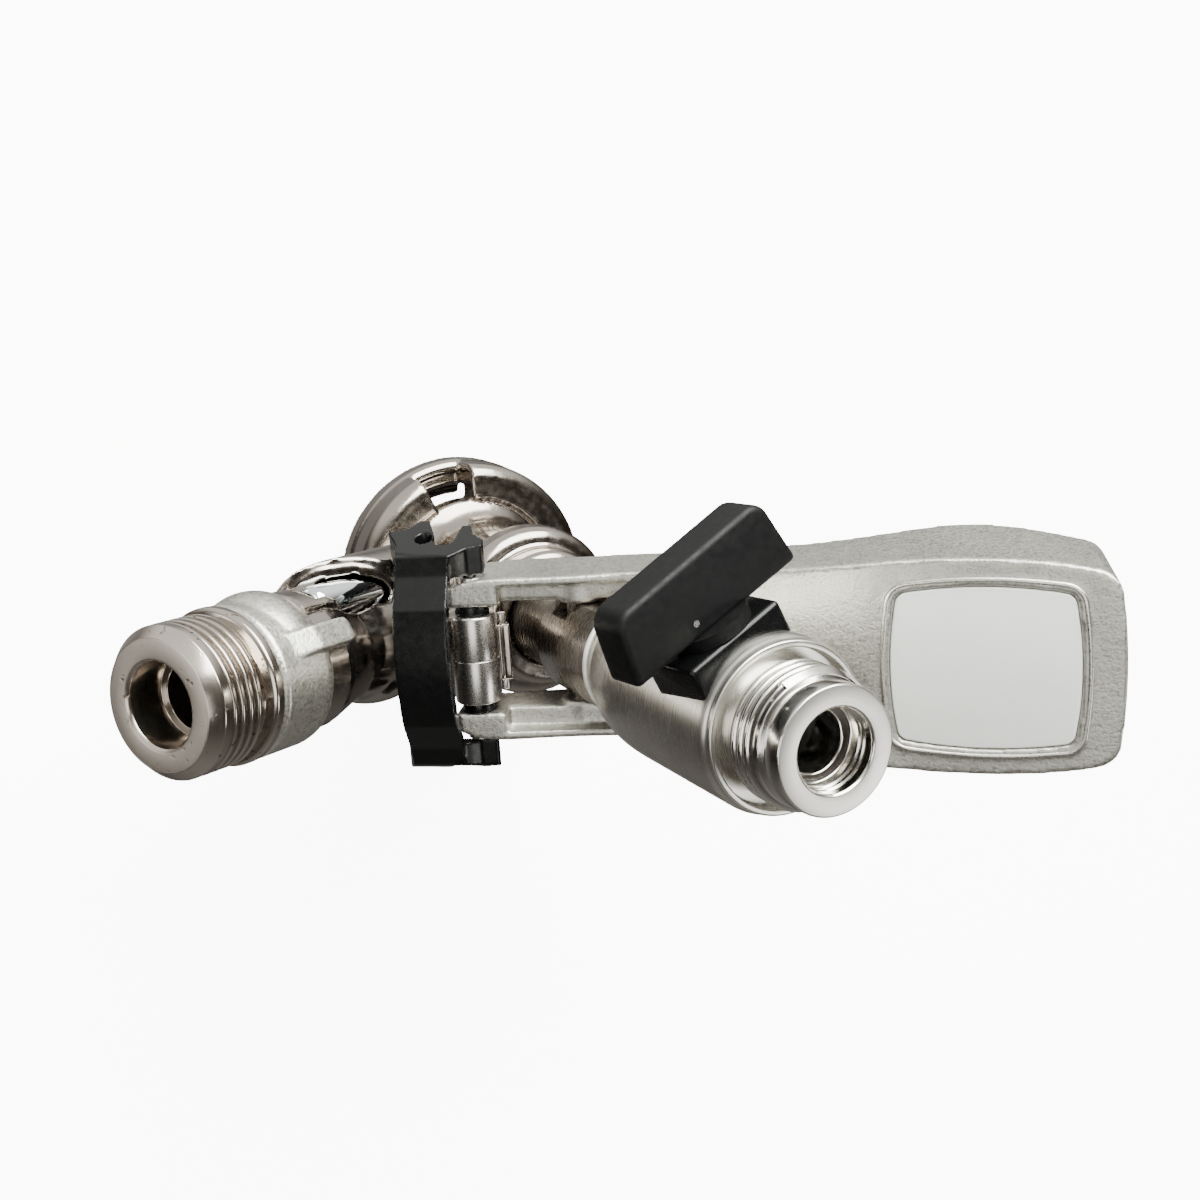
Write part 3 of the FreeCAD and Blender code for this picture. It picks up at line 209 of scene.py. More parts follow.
# Wing lever, along the valve's stem
WING_HALF_L = 17.4
WING_TOP_HALF_L = 15.6
WING_HALF_T = 4.0
WING_LOW = 18.6
WING_MIDDLE = 25.0
WING_TOP = 30.2
WING_RISE = 0.8
WING_CORNER = 2.8
WING_EDGE = 1.1
HUB_R = 6.9
HUB_LOW = 16.9
HUB_TOP = 19.0
PIN_END_R = 0.55
PIN_END_LOW = 3.9
PIN_END_TOP = 4.05
PIN_END_SPOT = (-3.9, 0, 21.2)
COVER_LOW = (-9.9, -6.6, 9.0)
COVER_HIGH = (9.3, 6.6, 16.8)
COVER_EDGE = 0.8
COVER_SEAT_R = 14.62
COVER_SEAT_HALF = 25.0

# Fixed colours, the warmth of polished steel, the range that a noise keeps to, and the shares of its
# roughness between which a finish varies
CHROME_COLOUR = (0.76, 0.79, 0.83)
RUBBER_COLOUR = (0.02, 0.02, 0.02)
SEAT_COLOUR = (0.75, 0.74, 0.7)
GASKET_COLOUR = (0.78, 0.77, 0.73)
SPRING_COLOUR = (0.6, 0.59, 0.57)
PLAIN = (1.0, 1.0, 1.0)
WARMTH = (1.0, 0.965, 0.92)
NOISE_LOW = 0.3
NOISE_HIGH = 0.7
GLOSSY = 0.85
DULL = 1.2

# The stage, in metres. A light is its name, place, aim, size, watts and colour.
FLOOR_HALF = 3.0
FLOOR_DARK = (0.89, 0.89, 0.885)
FLOOR_LIGHT = (0.91, 0.91, 0.905)
PAPER_WHITE = (1.0, 1.0, 0.995, 1)
FLOOR_GLOW = 9.0
BACKDROP_GLOW = 10.0
ROOM_GLOW = 1.5
ROOM_TONES = (
    (0.0, (0.2, 0.195, 0.185)), (0.22, (0.06, 0.055, 0.05)), (0.36, (0.014, 0.011, 0.008)),
    (0.55, (0.035, 0.027, 0.021)), (0.68, (0.12, 0.11, 0.1)), (0.76, (0.5, 0.5, 0.47)),
    (0.84, (1.0, 1.0, 0.95)), (1.0, (1.0, 1.0, 0.96)))
GLEAM_FROM = -0.8
GLEAM_FULL = -0.97
GLEAM = 0.24
LIGHTS = (
    ("key_light", (0.2, 0.8, 0.6), (0.0, 0.0, 0.07), 0.9, 47.0, (0.985, 1.0, 0.945)),
    ("top_light", (-0.55, -0.05, 0.95), (0.0, 0.0, 0.08), 0.5, 2.7, (1.0, 1.0, 0.96)),
    ("side_light", (-1.0, 0.1, 0.12), (0.0, 0.0, 0.07), 0.5, 2.8, (1.0, 0.995, 0.96)),
    ("fill_light", (0.6, -0.42, 0.85), (0.02, 0.0, 0.12), 0.3, 2.0, (1.0, 1.0, 0.97)),
)

# The camera. Its lens, sensor and spot are in millimetres, and what is nearest to it in metres.
CAMERA_LENS = 47.055
CAMERA_SENSOR = 36.0
CAMERA_NEAR = 0.01
CAMERA_SPOT = Vector((-125.41, 79.46, 332.08))
CAMERA_RIGHT = Vector((0.889255, -0.063364, 0.453002))
CAMERA_UP = Vector((0.164875, 0.968187, -0.188229))
CAMERA_BACK = Vector((-0.426663, 0.242072, 0.871412))


def local_frame(origin, across, along):
    """A frame with its Z along one direction and its X near another, in millimetres."""
    z = Vector(along).normalized()
    y = z.cross(Vector(across)).normalized()
    x = y.cross(z)
    turn = Matrix((x, y, z)).transposed().to_4x4()
    return Matrix.Translation(Vector(origin) * MM) @ turn


WORLD_FRAME = Matrix.Identity(4)
QUARTER_TURN = Matrix.Rotation(math.radians(90.0), 4, "X")
GAS_SIDE = Vector((math.sin(GAS_TURN), math.cos(GAS_TURN), 0.0))
GAS_FRAME = local_frame((0, 0, GAS_HEIGHT), GAS_SIDE.cross(GAS_AXIS), GAS_AXIS)
RELIEF_FRAME = GAS_FRAME @ Matrix.Translation((0, RELIEF_OFFSET * MM, 0))
HANDLE_ALONG = Vector((math.cos(HANDLE_RISE), 0, math.sin(HANDLE_RISE)))
HANDLE_UP = Vector((-math.sin(HANDLE_RISE), 0, math.cos(HANDLE_RISE)))
HANDLE_FRAME = local_frame(HINGE_SPOT, HANDLE_ALONG, HANDLE_UP)
FACE_AT_BADGE = FACE_HEIGHT + (BADGE_ALONG - FACE_START) * math.tan(FACE_SLOPE)
FACE_FRAME = (HANDLE_FRAME
              @ Matrix.Translation((BADGE_ALONG * MM, 0, FACE_AT_BADGE * MM))
              @ Matrix.Rotation(-FACE_SLOPE, 4, "Y"))
STEM_AXIS = Vector((-math.sin(STEM_TURN), math.cos(STEM_TURN), 0))
STEM_FRAME = local_frame((0, 0, STEM_HEIGHT), (math.cos(STEM_TURN), math.sin(STEM_TURN), 0), STEM_AXIS)
LEVER_FRAME = STEM_FRAME @ Matrix.Rotation(LEVER_TURN, 4, "Z")
HINGE_FRAME = local_frame(HINGE_SPOT, (1, 0, 0), (0, 1, 0))
STOP_PIN_OFFSET = (HANDLE_ALONG * STOP_PIN_ALONG - HANDLE_UP * STOP_PIN_BELOW) * MM
STOP_PIN_FRAME = Matrix.Translation(STOP_PIN_OFFSET) @ HINGE_FRAME


# Finishes

def new_finish(name, colour, metallic, roughness):
    """A plain finish, its shader and the piece's own coordinates."""
    finish = bpy.data.materials.new(name)
    finish.use_nodes = True
    nodes = finish.node_tree.nodes
    shader = nodes["Principled BSDF"]
    shader.inputs["Base Color"].default_value = (*colour, 1)
    shader.inputs["Metallic"].default_value = metallic
    shader.inputs["Roughness"].default_value = roughness
    finish.diffuse_color = (*colour, 1)
    coords = nodes.new("ShaderNodeTexCoord")
    return finish, shader, coords.outputs["Object"]


def add_node(finish, kind, **settings):
    """A new node with its settings."""
    node = finish.node_tree.nodes.new(kind)
    for key, value in settings.items():
        setattr(node, key, value)
    return node


def link(finish, start, end):
    """Joins one node's output to another's input."""
    finish.node_tree.links.new(start, end)


def noise(finish, coords, scale, detail, roughness=0.55):
    """A noise over the piece."""
    node = add_node(finish, "ShaderNodeTexNoise")
    node.inputs["Scale"].default_value = scale
    node.inputs["Detail"].default_value = detail
    node.inputs["Roughness"].default_value = roughness
    link(finish, coords, node.inputs["Vector"])
    return node.outputs["Fac"]


def in_range(finish, value, low, high, low_in=NOISE_LOW, high_in=NOISE_HIGH):
    """A value moved from one range into another."""
    node = add_node(finish, "ShaderNodeMapRange")
    node.inputs["From Min"].default_value = low_in
    node.inputs["From Max"].default_value = high_in
    node.inputs["To Min"].default_value = low
    node.inputs["To Max"].default_value = high
    link(finish, value, node.inputs["Value"])
    return node.outputs["Result"]


def ramp(finish, value, stops):
    """A value turned into colours, each stop a place and a colour."""
    node = add_node(finish, "ShaderNodeValToRGB")
    elements = node.color_ramp.elements
    while len(elements) < len(stops):
        elements.new(0.5)
    for element, (place, colour) in zip(elements, stops):
        element.position = place
        element.color = (*colour, 1)
    link(finish, value, node.inputs["Fac"])
    return node.outputs["Color"]


def multiplied(finish, first, second):
    """Two colours multiplied."""
    node = add_node(finish, "ShaderNodeMix", data_type="RGBA", blend_type="MULTIPLY")
    node.inputs["Factor"].default_value = 1.0
    link(finish, first, node.inputs[6])
    link(finish, second, node.inputs[7])
    return node.outputs[2]


def add_bump(finish, shader, height, strength, distance, under=None):
    """Relief on the shader, over an earlier relief where there is one."""
    node = add_node(finish, "ShaderNodeBump")
    node.inputs["Strength"].default_value = strength
    node.inputs["Distance"].default_value = distance
    link(finish, height, node.inputs["Height"])
    if under is not None:
        link(finish, under, node.inputs["Normal"])
    link(finish, node.outputs["Normal"], shader.inputs["Normal"])
    return node.outputs["Normal"]


def shade_of(colour, factor):
    """A darker or lighter shade of a colour."""
    return tuple(min(1.0, c * factor) for c in colour)


def mottled(finish, coords, colour, scale, detail, dark, light):
    """The colour in soft clouds, from a darker to a lighter shade of itself."""
    cloud = noise(finish, coords, scale, detail)
    return ramp(finish, cloud, [(NOISE_LOW, shade_of(colour, dark)), (NOISE_HIGH, shade_of(colour, light))])


def blasted_metal(name, colour, grain, strength, roughness):
    """Sand-blasted steel: a fine pitted grain with soft cloudy tone."""
    finish, shader, coords = new_finish(name, colour, 1.0, roughness)
    tone = mottled(finish, coords, colour, scale=90.0, detail=4.0, dark=0.9, light=1.06)
    speck = noise(finish, coords, grain, detail=2.0, roughness=0.7)
    dots = ramp(finish, speck, [(NOISE_LOW, (0.72, 0.715, 0.7)), (0.52, PLAIN)])
    link(finish, multiplied(finish, tone, dots), shader.inputs["Base Color"])
    link(finish, in_range(finish, speck, roughness * GLOSSY, roughness * DULL), shader.inputs["Roughness"])
    coarse = noise(finish, coords, grain * 0.35, detail=2.0, roughness=0.6)
    under = add_bump(finish, shader, coarse, strength * 0.6, distance=0.00012)
    add_bump(finish, shader, speck, strength, 0.00008, under)
    return finish


def polished_metal(name, colour, roughness, wave_height):
    """Polished cast steel: nearly a mirror, with soft waves left by the buff and fine lines."""
    finish, shader, coords = new_finish(name, colour, 1.0, roughness)
    wave = noise(finish, coords, scale=120.0, detail=2.0, roughness=0.4)
    tone = mottled(finish, coords, colour, scale=60.0, detail=3.0, dark=0.92, light=1.05)
    link(finish, tone, shader.inputs["Base Color"])
    smears = noise(finish, coords, scale=500.0, detail=4.0)
    link(finish, in_range(finish, smears, roughness * 0.7, roughness * 1.7), shader.inputs["Roughness"])
    under = add_bump(finish, shader, wave, wave_height, distance=0.0006)
    mapping = add_node(finish, "ShaderNodeMapping")
    mapping.inputs["Scale"].default_value = (900.0, 900.0, 7000.0)
    link(finish, coords, mapping.inputs["Vector"])
    lines = noise(finish, mapping.outputs["Vector"], scale=1.0, detail=2.0)
    add_bump(finish, shader, lines, 0.03, 0.00005, under)
    return finish


def turned_metal(name, colour, place, roughness, lines=3200.0, strength=0.04, pits=0.0, matte_from=None):
    """Turned steel: fine rings left by the tool round the piece's own axis, with a few small pits.
    Past one height on that axis, in mm, the end face is duller."""
    finish, shader, coords = new_finish(name, colour, 1.0, roughness)
    back = place.inverted()
    mapping = add_node(finish, "ShaderNodeMapping")
    mapping.inputs["Location"].default_value = back.to_translation()
    mapping.inputs["Rotation"].default_value = back.to_euler("XYZ")
    link(finish, coords, mapping.inputs["Vector"])
    split = add_node(finish, "ShaderNodeSeparateXYZ")
    link(finish, mapping.outputs["Vector"], split.inputs["Vector"])
    flat = add_node(finish, "ShaderNodeCombineXYZ")
    link(finish, split.outputs["X"], flat.inputs["X"])
    link(finish, split.outputs["Y"], flat.inputs["Y"])
    length = add_node(finish, "ShaderNodeVectorMath", operation="LENGTH")
    link(finish, flat.outputs["Vector"], length.inputs[0])
    total = add_node(finish, "ShaderNodeMath", operation="SUBTRACT")
    link(finish, length.outputs["Value"], total.inputs[0])
    link(finish, split.outputs["Z"], total.inputs[1])
    rings = add_node(finish, "ShaderNodeTexNoise", noise_dimensions="1D")
    rings.inputs["Scale"].default_value = lines
    rings.inputs["Detail"].default_value = 3.0
    link(finish, total.outputs["Value"], rings.inputs["W"])
    gloss = in_range(finish, rings.outputs["Fac"], roughness * GLOSSY, roughness * DULL)
    if matte_from:
        dull = in_range(finish, split.outputs["Z"], 0.0, 0.2, matte_from * MM, (matte_from + 0.08) * MM)
        both = add_node(finish, "ShaderNodeMath", operation="ADD")
        link(finish, gloss, both.inputs[0])
        link(finish, dull, both.inputs[1])
        gloss = both.outputs["Value"]
    link(finish, gloss, shader.inputs["Roughness"])
    tone = mottled(finish, coords, colour, scale=160.0, detail=4.0, dark=0.92, light=1.05)
    under = None
    if pits:
        spots = noise(finish, coords, scale=700.0, detail=1.0, roughness=0.4)
        stain = ramp(finish, spots, [(0.2, PLAIN), (0.69, PLAIN), (0.74, (0.5, 0.44, 0.38))])
        tone = multiplied(finish, tone, stain)
        hollow = in_range(finish, spots, 1.0, 0.0, 0.68, 0.76)
        under = add_bump(finish, shader, hollow, pits, distance=0.0001)
    link(finish, tone, shader.inputs["Base Color"])
    add_bump(finish, shader, rings.outputs["Fac"], strength, 0.00004, under)
    return finish


def moulded_plastic(name, colour, roughness, grain, strength, shine=0.5):
    """Moulded plastic: a fine grain with a slight change of gloss."""
    finish, shader, coords = new_finish(name, colour, 0.0, roughness)
    shader.inputs["Specular IOR Level"].default_value = shine
    tone = mottled(finish, coords, colour, scale=260.0, detail=3.0, dark=0.8, light=1.25)
    link(finish, tone, shader.inputs["Base Color"])
    smears = noise(finish, coords, scale=700.0, detail=3.0)
    link(finish, in_range(finish, smears, roughness * GLOSSY, roughness * DULL), shader.inputs["Roughness"])
    add_bump(finish, shader, noise(finish, coords, grain, detail=2.0), strength, distance=0.00004)
    return finish


def painted_plate(name, colour):
    """The badge's coated plate: smooth and faintly mottled."""
    finish, shader, coords = new_finish(name, colour, 0.0, 0.3)
    tone = mottled(finish, coords, colour, scale=120.0, detail=4.0, dark=0.985, light=1.01)
    link(finish, tone, shader.inputs["Base Color"])
    smears = noise(finish, coords, scale=900.0, detail=2.0)
    link(finish, in_range(finish, smears, 0.3, 0.42), shader.inputs["Roughness"])
    add_bump(finish, shader, noise(finish, coords, scale=350.0, detail=2.0), strength=0.04, distance=0.0001)
    shader.inputs["Coat Weight"].default_value = 0.2
    shader.inputs["Coat Roughness"].default_value = 0.15
    return finish


FINISHES = {}


def make_finishes(colours):
    """Every finish of the coupler, from the colours in the panel."""
    blasted = tuple(colours.blasted)
    bright = tuple(colours.bright)
    black = shade_of(tuple(colours.black), 0.5)
    warm = tuple(c * w for c, w in zip(colours.steel, WARMTH))
    FINISHES.update(
        handle=blasted_metal("handle_blasted", blasted, grain=1700.0, strength=1.0, roughness=0.42),
        collar=blasted_metal(
            "collar_blasted", shade_of(blasted, 1.12), grain=1500.0, strength=1.0, roughness=0.36),
        border=blasted_metal(
            "border_blasted", shade_of(blasted, 1.3), grain=2600.0, strength=0.3, roughness=0.3),
        hinge_turned=blasted_metal(
            "hinge_satin", tuple(colours.turned), grain=5200.0, strength=0.05, roughness=0.27),
        body=polished_metal("body_polished", shade_of(warm, 0.62), roughness=0.15, wave_height=0.1),
        chrome=polished_metal("relief_chrome", CHROME_COLOUR, roughness=0.04, wave_height=0.02),
        spring=polished_metal("spring_wire", SPRING_COLOUR, roughness=0.2, wave_height=0.16),
        gas_turned=turned_metal(
            "gas_turned", shade_of(warm, 0.8), GAS_FRAME, roughness=0.19, pits=0.4, matte_from=GAS_DULL_FROM),
        outlet_turned=turned_metal(
            "outlet_turned", bright, WORLD_FRAME, roughness=0.15, matte_from=OUTLET_DULL_FROM),
        valve_turned=turned_metal(
            "valve_satin", shade_of(bright, 1.04), WORLD_FRAME, roughness=0.3, lines=5200.0, strength=0.006),
        probe_turned=turned_metal(
            "probe_turned", shade_of(warm, 0.5), WORLD_FRAME, roughness=0.27, lines=2200.0, strength=0.01),
        clip=moulded_plastic("clip_black", black, roughness=0.25, grain=1500.0, strength=0.015, shine=0.3),
        lever=moulded_plastic("lever_black", black, roughness=0.5, grain=2600.0, strength=0.15, shine=0.22),
        rubber=moulded_plastic("seal_rubber", RUBBER_COLOUR, roughness=0.6, grain=1800.0, strength=0.2),
        seat=moulded_plastic("seat_white", SEAT_COLOUR, roughness=0.35, grain=1200.0, strength=0.1),
        gasket=moulded_plastic("gasket_pale", GASKET_COLOUR, roughness=0.35, grain=1200.0, strength=0.1),
        badge=painted_plate("badge_white", tuple(colours.badge)))


# Making meshes

def outline_mesh(points, closed=True, round_steps=4):
    """A flat wire through (x, z) points in mm. A third value rounds that corner by that much."""
    bm = bmesh.new()
    corners = [(bm.verts.new((p[0] * MM, 0, p[1] * MM)), p[2] if len(p) > 2 else 0) for p in points]
    verts = [v for v, _ in corners]
    pairs = zip(verts, verts[1:] + verts[:1] if closed else verts[1:])
    for a, b in pairs:
        bm.edges.new((a, b))
    for vert, setback in corners:
        if setback:
            bmesh.ops.bevel(bm, geom=[vert], offset=setback * MM, offset_type="ABSOLUTE", profile=0.5,
                            segments=round_steps, affect="VERTICES", material=-1)
    return bm


def turned(points, steps=STEPS, closed=True):
    """A turned piece: its profile of (radius, height) points spun once round the axis."""
    bm = outline_mesh(points, closed)
    bmesh.ops.spin(bm, geom=bm.verts[:] + bm.edges[:], axis=(0, 0, 1), cent=(0, 0, 0), angle=2 * math.pi,
                   steps=steps, use_merge=True, use_duplicate=False)
    bmesh.ops.remove_doubles(bm, verts=bm.verts[:], dist=MERGE * MM)
    bmesh.ops.recalc_face_normals(bm, faces=bm.faces[:])
    return bm


def thread_ridge(low, high, root, crest, pitch, fades=True):
    """A right-hand thread's ridge: one rounded tooth swept up a helix. It fades into the core at its
    lower end, and at its upper end too unless it runs into a land."""
    foot, top = pitch * TOOTH_FOOT, pitch * TOOTH_TOP
    start = low + foot
    bm = outline_mesh([
        (root - TOOTH_SUNK, start - foot), (root, start - foot), (crest, start - top, TOOTH_ROUND),
        (crest, start + top, TOOTH_ROUND), (root, start + foot), (root - TOOTH_SUNK, start + foot)],
        round_steps=3)
    turns = (high - foot - start) / pitch
    section = bmesh.ops.contextual_create(bm, geom=bm.edges[:])["faces"]
    bmesh.ops.spin(bm, geom=section, axis=(0, 0, 1), cent=(0, 0, 0), dvec=(0, 0, pitch / FINE_STEPS * MM),
                   angle=2 * math.pi * turns, steps=round(FINE_STEPS * turns))
    for vert in bm.verts:
        reach = math.hypot(vert.co.x, vert.co.y)
        height = vert.co.z / MM
        above = (high - height) * TOOTH_FADES if fades else crest
        limit = (root - TOOTH_START + max(0.0, min((height - low) * TOOTH_GROWS, above))) * MM
        if reach > limit:
            vert.co.x *= limit / reach
            vert.co.y *= limit / reach
    bmesh.ops.recalc_face_normals(bm, faces=bm.faces[:])
    return bm


def add_mesh(bm, *others):
    """Adds other bmeshes' pieces to this one."""
    for other in others:
        mesh = bpy.data.meshes.new("join")
        other.to_mesh(mesh)
        other.free()
        bm.from_mesh(mesh)
        bpy.data.meshes.remove(mesh)
    return bm


def temporary_object(bm):
    """An object for a modifier to work on. The bmesh is freed."""
    mesh = bpy.data.meshes.new("work")
    bm.to_mesh(mesh)
    bm.free()
    obj = bpy.data.objects.new("work", mesh)
    bpy.context.scene.collection.objects.link(obj)
    return obj


def remove_object(obj):
    """Removes a temporary object with its mesh."""
    mesh = obj.data
    bpy.data.objects.remove(obj)
    bpy.data.meshes.remove(mesh)


def applied(obj):
    """The object's mesh with its modifiers, as a bmesh. The object itself is removed."""
    graph = bpy.context.evaluated_depsgraph_get()
    mesh = bpy.data.meshes.new_from_object(obj.evaluated_get(graph))
    bm = bmesh.new()
    bm.from_mesh(mesh)
    bpy.data.meshes.remove(mesh)
    remove_object(obj)
    return bm


def cut_away(bm, cutter):
    """Cuts one shape away from another."""
    obj, tool = temporary_object(bm), temporary_object(cutter)
    cut = obj.modifiers.new("cut", "BOOLEAN")
    cut.operation = "DIFFERENCE"
    cut.solver = "EXACT"
    cut.object = tool
    result = applied(obj)
    remove_object(tool)
    return result


def block(low, high):
    """A box between two corners, in mm."""
    bm = bmesh.new()
    bmesh.ops.create_cube(bm, size=1.0)
    size = [(b - a) * MM for a, b in zip(low, high)]
    middle = [(a + b) / 2 * MM for a, b in zip(low, high)]
    bmesh.ops.scale(bm, vec=size, verts=bm.verts[:])
    bmesh.ops.translate(bm, vec=middle, verts=bm.verts[:])
    return bm


def rod(radius, low, high, steps=ROD_STEPS):
    """A plain rod along the axis, in mm."""
    return turned([(0, low), (radius, low), (radius, high), (0, high)], steps, False)


def node_copy(node):
    """A merged copy of a CAD node's mesh."""
    bm = bmesh.new()
    bm.from_mesh(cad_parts[node].data)
    bmesh.ops.remove_doubles(bm, verts=bm.verts[:], dist=MERGE * MM)
    return bm


def cast_skin(bm, grain, rounds):
    """Gives a shape the soft edges of a casting: an even skin of small faces, then smoothing."""
    obj = temporary_object(bm)
    remesh = obj.modifiers.new("skin", "REMESH")
    remesh.mode = "VOXEL"
    remesh.voxel_size = grain * MM
    smooth = obj.modifiers.new("soften", "SMOOTH")
    smooth.factor = 0.5
    smooth.iterations = rounds
    return applied(obj)


def true_round(bm, place, radius, low, high):
    """Sets points that lie close to a cylinder exactly on it, so that a polished wall stays even."""
    back = place.inverted()
    for vert in bm.verts:
        spot = back @ vert.co
        r = math.hypot(spot.x, spot.y)
        if low * MM < spot.z < high * MM and abs(r - radius * MM) < WALL_REACH * MM:
            spot.x *= radius * MM / r
            spot.y *= radius * MM / r
            vert.co = place @ spot


def bowed_plate(half_l, half_w, bow, corner):
    """One flat face whose four sides bow outwards, with rounded corners."""
    bm = bmesh.new()
    for quarter in range(4):
        half, reach = (half_l, half_w) if quarter % 2 else (half_w, half_l)
        radius = (half * half + bow * bow) / (2 * bow)
        sweep = 2 * math.asin(half / radius)
        side = bmesh.new()
        first = bmesh.ops.create_vert(side, co=(reach * MM, -half * MM, 0))["vert"]
        centre = ((reach + bow - radius) * MM, 0, 0)
        bmesh.ops.spin(side, geom=first, axis=(0, 0, 1), cent=centre, angle=sweep, steps=BOW_STEPS)
        turn = Matrix.Rotation(math.radians(90 * quarter), 3, "Z")
        bmesh.ops.rotate(side, verts=side.verts[:], cent=(0, 0, 0), matrix=turn)
        add_mesh(bm, side)
    bmesh.ops.remove_doubles(bm, verts=bm.verts[:], dist=TOUCH * MM)
    corners = [v for v in bm.verts if abs(abs(v.co.x) - half_l * MM) < TOUCH * MM
               and abs(abs(v.co.y) - half_w * MM) < TOUCH * MM]
    bmesh.ops.bevel(bm, geom=corners, offset=corner * MM, offset_type="ABSOLUTE", segments=CORNER_STEPS,
                    profile=0.5, affect="VERTICES", material=-1)
    bmesh.ops.contextual_create(bm, geom=bm.edges[:])
    return bm


def raised(bm, height):
    """Pulls every face up by a height in mm and closes the sides. The first faces stay below."""
    made = bmesh.ops.extrude_face_region(bm, geom=bm.faces[:])["geom"]
    tops = [g for g in made if isinstance(g, bmesh.types.BMVert)]
    bmesh.ops.translate(bm, vec=(0, 0, height * MM), verts=tops)
    bmesh.ops.recalc_face_normals(bm, faces=bm.faces[:])
    return bm


def lowered(bm, depth):
    """Moves a shape down by a depth in mm."""
    bmesh.ops.translate(bm, vec=(0, 0, -depth * MM), verts=bm.verts[:])
    return bm


def soften_edges(bm, width, segments, above=None):
    """Rounds the sharp edges, or only those above a height."""
    edges = [e for e in bm.edges if len(e.link_faces) == 2 and e.calc_face_angle() > math.radians(40)]
    if above is not None:
        edges = [e for e in edges if all(v.co.z > above * MM for v in e.verts)]
    bmesh.ops.bevel(bm, geom=edges, offset=width * MM, offset_type="OFFSET", segments=segments, profile=0.5,
                    affect="EDGES", clamp_overlap=True, material=-1)
    return bm


def finish_piece(name, bm, place, finish, body, nodes, sharp=35.0):
    """Puts a mesh in its place and makes it a piece that rides on its body. Edges sharper than an
    angle in degrees stay sharp, and at 0 none does."""
    bm.transform(place)
    mesh = bpy.data.meshes.new(name)
    bm.to_mesh(mesh)
    bm.free()
    mesh.shade_smooth()
    if sharp:
        mesh.set_sharp_from_angle(angle=math.radians(sharp))
    piece = bpy.data.objects.new(name, mesh)
    bpy.context.scene.collection.objects.link(piece)
    mesh.materials.append(FINISHES[finish])
    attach(piece, body)
    if nodes:
        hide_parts(*nodes)


def finish_node(node, finish):
    """Gives a CAD node's own mesh a better finish."""
    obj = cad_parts[node]
    if not obj.material_slots:
        obj.data.materials.append(FINISHES[finish])
    for slot in obj.material_slots:
        slot.link = "OBJECT"
        slot.material = FINISHES[finish]


# What a user would change

class KegCouplerSizes(bpy.types.PropertyGroup):
    """Sizes of the dressed pieces."""
    thread_pitch: bpy.props.FloatProperty(
        name="Thread pitch", description="Pitch of both threads, in millimetres",
        default=1.814, min=0.5, max=3.0)
    casting_grain: bpy.props.FloatProperty(
        name="Casting grain", description="Size of the faces on the body and the handle, in millimetres",
        default=0.42, min=0.3, max=2.0)
    casting_rounds: bpy.props.IntProperty(
        name="Casting rounds", description="How often the edges of the body, handle and collar are smoothed",
        default=7, min=0, max=40)
    border_height: bpy.props.FloatProperty(
        name="Border height", description="Height of the bright border round the badge, in millimetres",
        default=0.45, min=0.05, max=0.6)


class KegCouplerColours(bpy.types.PropertyGroup):
    """Colours of the finishes."""
    steel: bpy.props.FloatVectorProperty(
        name="Polished steel", description="Colour of the body, and of the gas nipple and the probe",
        subtype="COLOR", size=3, min=0, max=1, default=(0.6, 0.56, 0.525))
    blasted: bpy.props.FloatVectorProperty(
        name="Blasted steel", description="Colour of the sand-blasted handle, its border and the collar",
        subtype="COLOR", size=3, min=0, max=1, default=(0.56, 0.55, 0.505))
    turned: bpy.props.FloatVectorProperty(
        name="Turned steel", description="Colour of the hinge's sleeves and pins",
        subtype="COLOR", size=3, min=0, max=1, default=(0.62, 0.595, 0.57))
    bright: bpy.props.FloatVectorProperty(
        name="Satin steel", description="Colour of the ball valve and its outlet",
        subtype="COLOR", size=3, min=0, max=1, default=(0.7, 0.68, 0.64))
    black: bpy.props.FloatVectorProperty(
        name="Black plastic", description="Colour of the clip, the wing lever and the cover under it",
        subtype="COLOR", size=3, min=0, max=1, default=(0.0042, 0.0046, 0.0048))
    badge: bpy.props.FloatVectorProperty(
        name="Badge", description="Colour of the bare badge plate",
        subtype="COLOR", size=3, min=0, max=1, default=(0.86, 0.87, 0.845))


# Pieces

# The valve's ball is bright and its seats are pale on the real thing. Here they are drawn dark as painted
# shade, so that the bore looks dark.
FINISH_NODES = {
    "body": ["body_casting"],
    "handle": ["handle_casting"],
    "badge": ["badge_plate"],
    "collar": ["gas_collar"],
    "chrome": ["relief_housing", "relief_poppet", "check_ball"],
    "spring": ["relief_spring"],
    "gas_turned": ["gas_nipple"],
    "hinge_turned": ["hinge_sleeves", "hinge_washers", "hinge_pin", "stop_pin", "drive_pins", "lever_pin"],
    "probe_turned": ["probe_tube", "drive_rollers"],
    "valve_turned": ["valve_body", "valve_stem"],
    "outlet_turned": ["outlet_nipple"],
    # Painted shade: the valve's ball is drawn in the clip's black so that the bore looks dark.
    "clip": ["hinge_clip", "valve_ball"],
    "lever": ["wing_lever"],
    "seat": ["ball_cage"],
    "gasket": ["union_ring"],
    # Painted shade: the valve's seats are drawn in the rubber's black so that the bore looks dark.
    "rubber": ["base_seal", "gland_seal", "probe_seal", "stem_o_ring", "gas_lip_valve", "valve_seats"],
}


class KEGCOUPLER_OT_finishes(bpy.types.Operator):
    """Makes the finishes and gives the carried-over nodes theirs"""
    bl_idname = "keg_coupler.make_finishes"
    bl_label = "Finishes"

    def execute(self, context):
        make_finishes(context.scene.keg_coupler_colours)
        for finish, nodes in FINISH_NODES.items():
            for node in nodes:
                finish_node(node, finish)
        return {"FINISHED"}


